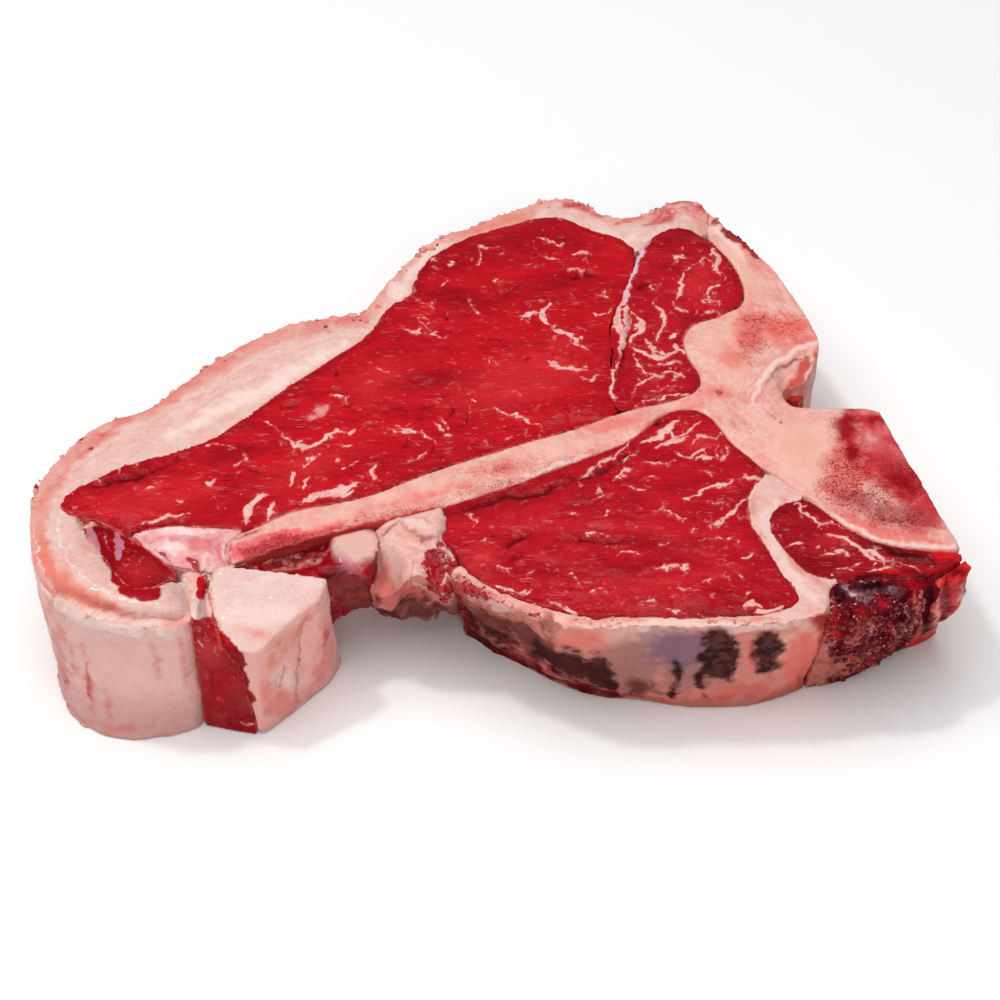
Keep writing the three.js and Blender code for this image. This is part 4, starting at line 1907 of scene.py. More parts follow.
def tenderloin() -> Muscle:
    """The large muscle below the bone's arm.

    Returns:
        The muscle, ready to be built.
    """
    veins = (
        line(3.4, (577, 479), (587, 471), (602, 462), (615, 457), (631, 441)),
        line(2.6, (612, 464), (628, 459), (640, 450)), line(2.2, (612, 479), (620, 474), (635, 469)),
        line(1.4, (642, 465), (657, 464), (679, 463)), line(1.6, (642, 478), (657, 476)),
        line(1.6, (626, 487), (649, 490)), line(1.6, (597, 485), (603, 496), (611, 495)),
        line(1.6, (603, 496), (594, 501)), line(1.6, (601, 516), (612, 511)),
        line(1.4, (564, 514), (579, 511)), line(1.8, (652, 511), (666, 510), (681, 519)),
        line(3.4, (681, 500), (699, 495), (713, 485), (735, 481)),
        line(2.4, (741, 479), (760, 479), (772, 478)), line(1.6, (707, 502), (724, 504), (730, 509)),
        line(3.2, (707, 527), (713, 525), (731, 515), (744, 501), (751, 496)),
        line(1.8, (690, 532), (696, 529)), line(1.6, (659, 545), (668, 543)),
        line(2, (652, 568), (668, 569), (688, 567)), spot(684, 568, 3, 2),
        line(1.8, (702, 583), (713, 579)), line(1.6, (677, 588), (688, 589)),
        line(1.6, (745, 593), (751, 590)), line(1.4, (583, 534), (607, 534)),
        line(1.6, (568, 573), (574, 574), (582, 584)), line(1.6, (739, 574), (746, 578)),
        line(2.4, (694, 458), (716, 455), (718, 444)),
        line(2.6, (483, 584), (495, 586), (510, 592), (524, 595), (531, 591)),
        line(6, (640, 444), (660, 436), (668, 428), (680, 420)),
        line(5, (655, 448), (672, 440), (690, 438)),
        line(3.4, (668, 428), (676, 436), (688, 434), (700, 420)),
        line(3, (690, 446), (700, 436), (716, 438), (722, 430)),
        line(4, (676, 452), (690, 456), (704, 450)), line(1.8, (640, 601), (655, 601)),
        line(1.8, (668, 609), (688, 613)), spot(752, 604, 2, 2.4), line(1.8, (746, 592), (744, 600)),
        line(1.6, (604, 495), (596, 489)), line(2.2, (465, 512), (477, 522), (473, 529)),
        line(1.6, (700, 470), (712, 473)), line(1.8, (528, 574), (534, 571)),
        line(1.6, (542, 523), (551, 524)), line(1.6, (560, 513), (578, 511)),
        line(1.8, (493, 566), (503, 568), (513, 569)), line(2.4, (546, 600), (556, 606), (572, 612)),
        line(6, (744, 606), (754, 603), (764, 609)), line(5, (752, 614), (770, 612), (782, 606)),
        line(3, (740, 556), (752, 554)), line(1.3, (700, 540), (722, 538), (738, 540)),
        line(1.3, (480, 540), (496, 543)), line(1.6, (718, 462), (728, 452), (727, 446)),
        line(1.3, (620, 552), (640, 556)), line(1.3, (590, 590), (606, 588)),
        line(4, (566, 606), (572, 612), (574, 620)),
    )
    slits = (
        line(4.4, (503, 546), (515, 539), (531, 530)), line(1.6, (560, 538), (597, 541), (633, 539)),
        line(5, (463, 508), (489, 500), (514, 494), (544, 490), (568, 482)),
        line(2.6, (568, 482), (610, 466), (640, 450)), spot(745, 619, 12, 3), spot(780, 618, 12, 3),
        line(1.6, (520, 552), (512, 560)), line(2, (657, 458), (657, 462)),
        line(2, (640, 430), (655, 424), (668, 420)),
    )
    shade = (
        line(12, (450, 514), (500, 501), (560, 486), (620, 462)),
        line(10, (452, 560), (475, 585), (520, 605)), line(8, (560, 540), (640, 541), (700, 545)),
        line(10, (680, 612), (760, 612)), line(9, (520, 570), (600, 575), (680, 560)),
        spot(760, 600, 26, 8), line(8, (560, 500), (650, 500)),
    )
    glow = (
        line(9, (500, 520), (560, 524), (650, 528), (720, 560)),
        line(9, (540, 556), (640, 588), (740, 570)), spot(700, 440, 20, 10), spot(480, 560, 14, 18, 40),
    )
    return Muscle(
        "tenderloin", Slot.LEAN, lean((200, 26, 40), (160, 10, 26)), voxel=0.7, rise=0.2, fine=True,
        marks={"vein": veins, "slit": slits, "shade": shade, "glow": glow},
        flecks={"fleck": Flecks(240, (2, 7), (0.5, 1.3), slope=(0, 18), seed=12)},
    )


def side_muscle() -> Muscle:
    """The darker muscle between the tenderloin and the vertebra.

    Returns:
        The muscle, ready to be built.
    """
    veins = (
        line(4.4, (826, 533), (842, 539), (855, 545), (868, 556), (880, 562)),
        line(4.4, (862, 549), (876, 553), (884, 561)),
        line(2.4, (872, 560), (892, 560), (908, 566), (920, 574)),
        line(2, (836, 570), (850, 568), (862, 563)),
        line(2.6, (796, 500), (804, 512), (818, 519), (828, 527)),
        line(2, (784, 550), (794, 543), (804, 543)), line(2.2, (822, 556), (842, 553), (852, 558)),
        line(1.8, (874, 545), (880, 551)), line(3, (870, 571), (890, 567), (905, 568)),
        line(1.6, (820, 520), (832, 523), (846, 531)), spot(817, 547, 2, 1.6),
    )
    layers = (
        Layer("shadow", (58, 2, 6), feather=1.8, tear=0.5, strength=0.9),
        Layer("fresh", (214, 26, 32), feather=1.6, tear=0.4, strength=0.8),
        Layer("blood", (150, 10, 22), feather=0.8, tear=0.4, strength=0.85),
    )
    return Muscle(
        "side_muscle", Slot.DARK_LEAN, lean((182, 24, 38), (120, 6, 16), *layers), voxel=0.55, rise=-0.2,
        fine=True,
        marks={
            "vein": veins,
            "slit": (line(2, (880, 560), (930, 562), (955, 560)), line(1.6, (840, 545), (850, 550))),
            "shade": (line(10, (840, 520), (890, 545)), spot(810, 560, 14, 8)),
            "glow": (spot(830, 545, 14, 8),),
            "shadow": (
                line(9, (872, 545), (902, 552), (935, 560)), line(6, (856, 577), (890, 575), (903, 580)),
                line(4, (905, 572), (935, 575)),
            ),
            "fresh": (spot(945, 555, 12, 5), spot(962, 566, 8, 10), line(5, (880, 572), (900, 571))),
            "blood": (line(5, (888, 566), (900, 569), (915, 571)),),
        },
        flecks={"fleck": Flecks(64, (2, 6), (0.6, 1.5), slope=(15, 25), seed=15)},
    )


def tail_lean() -> Muscle:
    """Dark lean in the curl of the tail.

    Returns:
        The muscle, ready to be built.
    """
    film = (
        line(8, (87, 527), (91, 536), (97, 549), taper=0.7),
        line(7, (115, 533), (119, 545), (117, 557), taper=0.7),
    )
    return Muscle(
        "tail_lean", Slot.DARK_LEAN,
        lean(
            (180, 8, 22), (120, 2, 12),
            Layer("film", (202, 130, 152), feather=0.4, tear=0.3, strength=0.85),
        ),
        voxel=0.5, rise=0.0, fine=True, reach=0.8,
        marks={
            "film": film,
            "slit": (line(4, (150, 552), (162, 554), (172, 561)),),
            "vein": (line(1.6, (104, 534), (108, 548)),),
            "shade": (line(8, (150, 548), (172, 562)), line(6, (100, 548), (112, 570))),
            "glow": (spot(140, 570, 14, 10),),
        },
        flecks={"fleck": Flecks(18, (2, 5), (0.6, 1.2), seed=17)},
    )


def tail_layer() -> Muscle:
    """The red layer that shows down the tail's cut side.

    Returns:
        The muscle, ready to be built.
    """
    fat = Layer("fat", (240, 200, 194), feather=0.6, tear=0.5)
    blood = Layer("blood", (186, 18, 30), feather=0.8, tear=0.6)
    return Muscle(
        "tail_layer", Slot.LEAN, lean((210, 22, 36), (138, 4, 16), fat, blood), voxel=0.4, rise=None,
        wall_rounds=20, reach=0.3,
        marks={
            "vein": (line(2, (198, 640), (203, 646)), line(1.8, (240, 720), (248, 726))),
            "slit": (line(1.6, (208, 664), (214, 700)),),
            "shade": (spot(236, 715, 30, 20),),
            "glow": (spot(210, 650, 8, 20, 60),),
            "fat": (
                line(34, (205, 560), (202, 585), (196, 604), taper=0.9),
                line(16, (214, 600), (224, 618), (232, 632), taper=0.8),
            ),
            "blood": (line(11, (197, 570), (203, 580), (201, 590), taper=0.5),),
        },
        flecks={"fleck": Flecks(50, (2, 5), (0.8, 1.5), slope=(40, 40), seed=19)},
        pressed=((line(20, (200, 558), (203, 576), (201, 596), taper=0.8), 2.2),), ragged=0.35,
    )


def bone() -> SawnBone:
    """The T-shaped bone.

    Returns:
        The bone, ready to be built.
    """
    marks = {
        "cream": (
            spot(800, 450, 34, 34, 20), spot(735, 345, 22, 30), spot(735, 262, 12, 30, -30),
            line(12, (300, 533), (400, 500), (600, 436)),
        ),
        "blush": (
            spot(783, 329, 26, 13), spot(806, 338, 15, 9), spot(752, 330, 18, 22), spot(735, 356, 14, 10),
            spot(612, 424, 20, 4, -14), line(6, (300, 548), (365, 525), (410, 513), (440, 507)),
            line(5, (360, 512), (420, 498), (470, 484)), spot(700, 202, 14, 8),
            line(4, (480, 497), (540, 480), (600, 456)), spot(500, 468, 22, 6, -14),
            spot(880, 530, 60, 8, 14), spot(846, 470, 22, 34, 10),
            line(5, (640, 428), (680, 412), (700, 404)), spot(716, 392, 10, 6),
            line(5, (722, 218), (742, 246), (760, 268)),
        ),
        "blood": (
            line(16, (846, 410), (850, 425), (850, 440), (856, 452), taper=0.5), spot(905, 480, 36, 24, 34),
            spot(868, 422, 26, 12, 30), spot(882, 462, 28, 20, 30), spot(928, 510, 20, 22, 40),
            spot(895, 440, 20, 14, 40),
        ),
        "deep": (
            spot(846, 428, 9, 15, 10), spot(853, 450, 6, 10), spot(898, 480, 20, 10, 30),
            spot(876, 420, 12, 5),
        ),
        "lilac": (spot(872, 444, 15, 7, 20), spot(898, 456, 12, 6, 30), spot(884, 428, 10, 6)),
        "grey": (spot(898, 516, 36, 11, 6), spot(860, 500, 20, 10, 20)),
        "pores": (
            spot(755, 322, 11, 10), spot(752, 345, 11, 13), spot(898, 516, 40, 14, 5),
            spot(848, 474, 26, 38, 10), spot(872, 500, 32, 16, 10), spot(500, 468, 24, 5, -14),
            line(12, (240, 552), (262, 545), (298, 537), taper=0.8), spot(846, 426, 12, 18),
            spot(905, 480, 30, 20, 30), line(5, (300, 545), (365, 522), (440, 502)),
            line(4, (440, 500), (520, 480), (600, 452)),
        ),
        "red_pores": (spot(786, 326, 22, 12, 10), spot(762, 352, 8, 10)),
        "tip": (
            line(19, (240, 553), (262, 546), (298, 537), taper=0.85),
            line(8, (298, 537), (322, 530), (350, 520)),
        ),
        "core": (
            line(9, (244, 554), (264, 547), (296, 539), taper=0.8),
            line(4, (296, 539), (320, 533), (344, 525)),
        ),
        "rind": (
            line(
                5, (768, 474), (790, 492), (815, 506), (845, 523), (872, 538), (905, 546), (955, 546),
                taper=0.8,
            ),
            line(7, (819, 343), (795, 351), (776, 364), (760, 383), (752, 401), taper=0.7),
            line(6, (702, 213), (726, 240), (745, 262)), line(4, (520, 477), (545, 470), (585, 456)),
        ),
        "ochre": (spot(800, 448, 22, 16, 20), spot(745, 290, 14, 12), spot(742, 362, 10, 10)),
        "ridge": (line(9, (819, 343), (795, 351), (776, 364), (760, 383), (752, 401), taper=0.6),),
        "hollow": (spot(796, 382, 15, 16),),
        "marrow": (
            line(12, (806, 360), (797, 374), (788, 392), taper=0.6), line(5, (812, 352), (817, 362)),
        ),
        "brown": (spot(808, 386, 8, 14), spot(815, 372, 5, 8)),
        "rags": (line(12, (700, 204), (722, 222), (745, 246), (762, 264), taper=0.9),),
        "crumbly": (line(7, (716, 220), (734, 232), (746, 244), (758, 254), taper=0.7),),
        "slit": (
            line(1.8, (818, 356), (794, 359), (775, 372), (766, 384)),
            line(1.6, (880, 520), (905, 520), (925, 514)), spot(781, 421, 1.6, 1.4),
            line(1, (768, 410), (776, 418)), line(1.2, (810, 480), (822, 500)),
        ),
        "under": (
            line(
                12, (236, 569), (265, 559), (290, 551), (330, 539), (365, 530), (400, 522), (440, 512),
                taper=0.8,
            ),
            line(3, (233, 540), (230, 552), (232, 568)),
            line(2.6, (232, 566), (262, 556), (296, 547), (332, 537)),
            line(2.4, (236, 541), (246, 535), (262, 531)),
        ),
        "scrap": (
            line(9, (724, 229), (741, 242), (759, 257), taper=0.6), line(3, (714, 216), (722, 224)),
            spot(719, 392, 3, 2), spot(711, 222, 5, 3),
        ),
    }
    layers = (
        Layer("cream", (238, 188, 172), feather=7.0, tear=1.6, strength=0.7),
        Layer("blush", (232, 92, 84), feather=4.0, tear=1.4, strength=0.72),
        Layer("blood", (200, 28, 44), feather=4.0, tear=1.4, strength=0.9),
        Layer("grey", (182, 84, 88), feather=3.0, tear=1.0, strength=0.8),
        Layer("deep", (158, 4, 22), feather=2.6, tear=0.9, strength=0.92),
        Layer("lilac", (218, 110, 118), feather=2.0, tear=0.8, strength=0.75, broken=0.6),
        Layer("tip", (240, 116, 118), feather=1.2, tear=0.5, strength=0.95),
        Layer("core", (206, 64, 76), feather=1.6, tear=0.9, strength=0.9),
        Layer(
            "core", (130, 26, 38), feather=1.6, tear=1.0, strength=0.7, broken=0.3, dotted=0.5, height=-0.1,
        ),
        Layer("ochre", (224, 160, 124), feather=5.0, tear=1.5, strength=0.35),
        Layer("pores", (176, 30, 38), feather=5.0, tear=1.5, strength=0.75, dotted=0.7, height=-0.08),
        Layer(
            "pores", (100, 10, 20), feather=6.0, tear=1.5, strength=0.85, dotted=0.4, height=-0.12,
            broken=0.6, reach=-0.4,
        ),
        Layer("red_pores", (196, 44, 44), feather=4.0, tear=1.5, strength=0.7, dotted=0.6, height=-0.08),
        Layer("stain", (204, 60, 60), feather=3.0, tear=1.4, strength=0.75),
        Layer(
            "stain", (128, 14, 24), feather=3.0, tear=1.4, strength=0.8, reach=1.0, dotted=0.5, height=-0.1,
        ),
        Layer("rind", (244, 206, 198), feather=0.9, tear=0.4, strength=0.85, height=0.08),
        Layer("marrow", (220, 62, 50), feather=1.6, tear=1.0, strength=0.85, deep=(150, 24, 24)),
        Layer("brown", (158, 78, 68), feather=1.8, tear=1.2, strength=0.8, broken=0.3, height=0.3),
        # Painted shade: slits darkened along the groove.
        Layer("slit", (140, 40, 44), feather=0.5, tear=0.2, strength=0.8),
        Layer("skin", (224, 144, 134), feather=1.4, tear=0.8, strength=0.7),
        Layer("under", (176, 20, 32), feather=0.9, tear=0.4, strength=0.9),
        Layer("scrap", (150, 18, 26), feather=0.8, tear=0.6, strength=0.9, height=0.2),
    )
    finish = Finish(
        Ground.BONE, (242, 198, 186), (226, 140, 134), layers, wet=0.3, dry=0.55, gloss=0.16, depth=1.0,
    )
    return SawnBone(
        "bone", Slot.BONE, finish, voxel=0.66, rise=0.3, reach=0.15, marks=marks,
        blunt=(spot(706, 210, 12, 12),), wall_rounds=25, spongy=3.4,
    )


def gristle() -> Fat:
    """Pale cartilage from the arm's tip to the tail.

    Returns:
        The cartilage, ready to be built.
    """
    marks = {
        "blush": (
            spot(200, 545, 14, 7), spot(222, 550, 7, 10), spot(192, 562, 9, 4), spot(168, 540, 10, 4),
        ),
        "lean": (
            line(9, (186, 559), (194, 564), (203, 573), taper=0.4),
            line(3, (152, 549), (162, 555), (172, 562)), line(2, (146, 530), (152, 536)),
        ),
        "slit": (line(1.4, (141, 536), (160, 545), (175, 552)),),
        "pale": (
            line(6, (140, 532), (170, 531), (214, 532), taper=0.6), spot(172, 546, 12, 4),
            line(5, (206, 556), (204, 564), (200, 572)), line(3, (170, 548), (186, 546)),
            line(4, (226, 540), (224, 556)),
        ),
    }
    layers = (
        Layer("blush", (218, 92, 98), feather=2.2, tear=0.9, strength=0.6),
        Layer("lean", (160, 12, 26), feather=0.5, tear=0.3, strength=0.9),
        # Painted shade in the slit.
        Layer("slit", (196, 100, 104), feather=0.5, tear=0.2, strength=0.8),
        Layer("pale", (248, 220, 216), feather=1.6, tear=1.1, strength=0.85, broken=0.2),
    )
    finish = Finish(Ground.FAT, (240, 196, 192), (218, 128, 134), layers, wet=0.22, dry=0.42)
    return Fat("gristle", Slot.GRISTLE, finish, voxel=0.5, rise=0.25, reach=0.4, marks=marks)


def tail_end() -> Fat:
    """The cut block of fat that ends the tail.

    Returns:
        The block, ready to be built.
    """
    marks = {
        "blush": (
            line(8, (318, 608), (300, 630), (285, 652), (272, 668)), line(6, (326, 640), (324, 665)),
            spot(258, 634, 12, 3, 20), line(14, (328, 620), (325, 660), (308, 700)), spot(285, 706, 18, 12),
            spot(268, 690, 8, 14),
        ),
        "orange": (
            line(5, (309, 606), (303, 622), (290, 642)), line(7, (273, 655), (269, 680)),
            line(4, (268, 652), (290, 634)),
        ),
        "blood": (
            line(3, (326, 632), (325, 650)), line(3, (322, 690), (318, 700)),
            line(2, (302, 655), (301, 668)),
        ),
        "slit": (
            line(1.8, (308, 618), (303, 640), (300, 670), (300, 706)), line(1.2, (286, 668), (282, 690)),
        ),
        "crease": (line(4, (310, 620), (303, 645), (300, 706), taper=0.8), line(2, (284, 668), (281, 694))),
        "sheen": (spot(288, 680, 9, 20, 100), spot(262, 615, 30, 10)),
        "lean": (
            line(12, (214, 628), (229, 648), (241, 670), taper=0.5),
            line(12, (239, 668), (245, 696), (252, 734), taper=0.8),
        ),
    }
    layers = (
        Layer("rim", (228, 164, 154), feather=3.0, tear=0.9, reach=0.8, strength=0.6),
        Layer("skin", (246, 172, 162), feather=1.4, tear=0.8, strength=0.7),
        Layer("blush", (232, 110, 104), feather=3.0, tear=1.2, strength=0.6),
        Layer("orange", (230, 130, 98), feather=2.4, tear=0.8, strength=0.65),
        # Painted shade: walls darker towards the table.
        Layer("low", (212, 122, 114), feather=18.0, tear=2.0, strength=0.2),
        Layer("sheen", (242, 212, 204), feather=3.0, tear=1.0, strength=0.6),
        Layer("blood", (186, 34, 42), feather=1.0, tear=0.6, strength=0.8),
        # Painted shade in the creases.
        Layer("slit", (178, 78, 72), feather=0.8, tear=0.3, strength=0.85),
        Layer("lean", (190, 18, 30), feather=0.6, tear=0.7, deep=(122, 4, 14)),
    )
    finish = Finish(Ground.FAT, (234, 208, 201), (230, 186, 178), layers)
    return Fat(
        "tail_end", Slot.FAT, finish, voxel=0.5, rise=None, reach=0.3, marks=marks, wall_rounds=24,
        rim_rounds=16, swollen=0.35,
    )


def fat_cap() -> Fat:
    """Fat along the strip loin's back and round the tail.

    Returns:
        The fat, ready to be built.
    """
    marks = {
        "rags": (
            line(
                16, (38, 500), (62, 462), (118, 418), (200, 372), (262, 336), (322, 316), (364, 318),
                taper=0.9,
            ),
            line(
                12, (380, 300), (410, 256), (470, 222), (560, 198), (600, 212), (650, 214), (690, 202),
                taper=0.9,
            ),
        ),
        "orange": (
            line(15, (42, 540), (48, 566), (60, 584), (82, 598), (112, 610), taper=0.6),
            spot(68, 586, 22, 9, 38), line(11, (458, 238), (490, 226), (532, 214), taper=0.5),
        ),
        "band": (
            line(
                13, (66, 470), (46, 500), (40, 530), (44, 560), (60, 588), (95, 606), (130, 616),
                taper=0.85,
            ),
            line(13, (64, 466), (118, 424), (196, 382), (262, 345), (320, 324), (362, 322), taper=0.9),
        ),
        # Pale fat; along the tail's rounded shoulder (the first and third lines) it is also painted
        # highlight.
        "white": (
            line(10, (52, 594), (88, 612), (125, 624), (160, 624), taper=0.4),
            line(12, (181, 567), (184, 585), (182, 603), taper=0.7),
            line(11, (62, 608), (96, 624), (140, 634), (186, 634), taper=0.5),
            line(14, (168, 436), (250, 395), (318, 360), (345, 342), taper=0.3),
            line(8, (395, 298), (412, 270), (440, 245), taper=0.3), spot(398, 290, 9, 8),
            line(5, (600, 228), (624, 238), (646, 240)),
        ),
        "thread": (
            line(
                2.2, (68, 492), (60, 509), (59, 540), (70, 565), (94, 586), (120, 600), (160, 605),
                taper=0.8,
            ),
            line(1.8, (34, 526), (39, 565), (52, 588), taper=0.8),
        ),
        "seamline": (
            line(1.4, (120, 440), (190, 402), (262, 366), (330, 338)),
            line(1.2, (160, 430), (240, 385), (300, 358)), line(1.2, (330, 336), (350, 330), (362, 322)),
            line(1.3, (240, 352), (300, 338), (340, 326)), line(1.2, (78, 470), (110, 448), (150, 432)),
        ),
        "lean": (
            spot(140, 590, 22, 11, 6), spot(118, 575, 8, 12, -20),
            line(6, (186, 560), (197, 567), (204, 575)), line(5, (200, 580), (207, 580), (204, 590)),
            line(4, (100, 556), (110, 566)), line(8, (148, 547), (162, 556), (174, 566), taper=0.7),
        ),
        "film": (line(3, (84, 528), (86, 536), (92, 546)),),
        "blush": (
            line(7, (82, 645), (86, 670), (92, 712)), spot(58, 655, 9, 26),
            line(6, (80, 718), (110, 730), (150, 728)), spot(43, 622, 7, 22),
            line(9, (650, 224), (680, 214), (705, 206)), spot(660, 215, 10, 6), spot(583, 206, 14, 5),
            line(6, (45, 500), (80, 455), (130, 415), (200, 375), (260, 335)),
            line(6, (560, 202), (590, 208), (600, 216)), line(3, (180, 632), (185, 660), (186, 700)),
            line(3, (70, 640), (74, 672)), line(3, (104, 690), (112, 720)),
            line(5, (300, 330), (340, 320), (370, 316)), line(3, (150, 640), (158, 676)),
        ),
        "blood": (
            line(3, (84, 656), (90, 700)), spot(583, 205, 7, 3),
            line(3, (648, 222), (664, 212), (676, 210)), line(2, (60, 660), (66, 690)),
            line(3, (680, 208), (694, 204), (706, 208)), line(2, (100, 436), (112, 428)),
            line(2.6, (618, 224), (638, 216), (656, 207)), line(2.4, (656, 212), (670, 204), (690, 200)),
            line(2, (642, 226), (660, 222), (676, 214)), line(2.4, (566, 204), (584, 209), (600, 218)),
        ),
        "slit": (
            line(2.4, (52, 588), (80, 602), (100, 609), (120, 615), (140, 618), (178, 618), (195, 608)),
            line(1.6, (176, 562), (188, 574), (191, 594)),
        ),
        "crease": (
            line(4, (60, 594), (100, 611), (140, 619), (178, 619), (196, 608), taper=0.8),
            line(2.5, (176, 562), (188, 574), (191, 594)),
        ),
        "ridge": (line(7, (62, 604), (100, 622), (140, 629), (180, 628), taper=0.7),),
        "sunk": (
            line(12, (84, 521), (104, 528), (132, 536), taper=0.9),
            line(12, (148, 548), (160, 556), (170, 562), taper=0.9),
            line(7, (170, 562), (176, 570), (178, 578), taper=0.9),
        ),
    }
    layers = (
        Layer("rim", (228, 150, 140), feather=2.6, tear=1.0, reach=3.6, strength=0.65),
        Layer("skin", (240, 190, 180), feather=1.6, tear=0.6, strength=0.75),
        Layer("band", (226, 142, 130), feather=1.6, tear=1.0, strength=0.65),
        Layer("orange", (226, 112, 88), feather=3.0, tear=1.0, strength=0.65),
        # Painted shade: walls darker towards the table.
        Layer("low", (184, 124, 122), feather=16.0, tear=2.0, strength=0.5),
        Layer("blush", (210, 98, 94), feather=3.2, tear=1.6, strength=0.6),
        Layer("blood", (186, 28, 38), feather=1.5, tear=0.9, strength=0.7),
        Layer("stain", (206, 104, 98), feather=3.2, tear=1.6, strength=0.6),
        Layer("stain", (168, 48, 52), feather=2.0, tear=1.2, strength=0.55, reach=-1.6, broken=0.6),
        # Pale fat, and a painted highlight on the tail's shoulder.
        Layer("white", (246, 222, 214), feather=2.2, tear=0.9, strength=0.65, height=0.05),
        Layer("thread", (250, 230, 224), feather=0.5, tear=0.3, strength=0.8, broken=0.2, height=0.06),
        Layer("seamline", (226, 150, 140), feather=0.4, tear=0.5, strength=0.7, broken=0.7, height=-0.06),
        # Painted shade in the creases.
        Layer("slit", (196, 92, 84), feather=0.9, tear=0.2, strength=0.75),
        Layer("lean", (184, 16, 30), feather=0.5, tear=0.4, deep=(126, 4, 16)),
        Layer("film", (202, 130, 152), feather=0.4, tear=0.3, strength=0.85),
        Layer("rim", (196, 84, 78), feather=0.9, tear=0.8, reach=0.2, strength=0.65, broken=0.6),
        Layer("rim", (138, 34, 38), feather=1.6, tear=1.0, reach=0.9, strength=0.6, dotted=0.8, broken=0.8),
    )
    finish = Finish(Ground.FAT, PALE_FAT, (226, 172, 162), layers)
    pressed = ((line(7, (150, 548), (162, 556), (174, 565), taper=0.8), 3.5),)
    return Fat(
        "fat_cap", Slot.FAT, finish, voxel=0.68, rise=0.0, reach=0.6, marks=marks, pressed=pressed,
        wall_rounds=80, ragged=1.7, lump=0.7,
    )


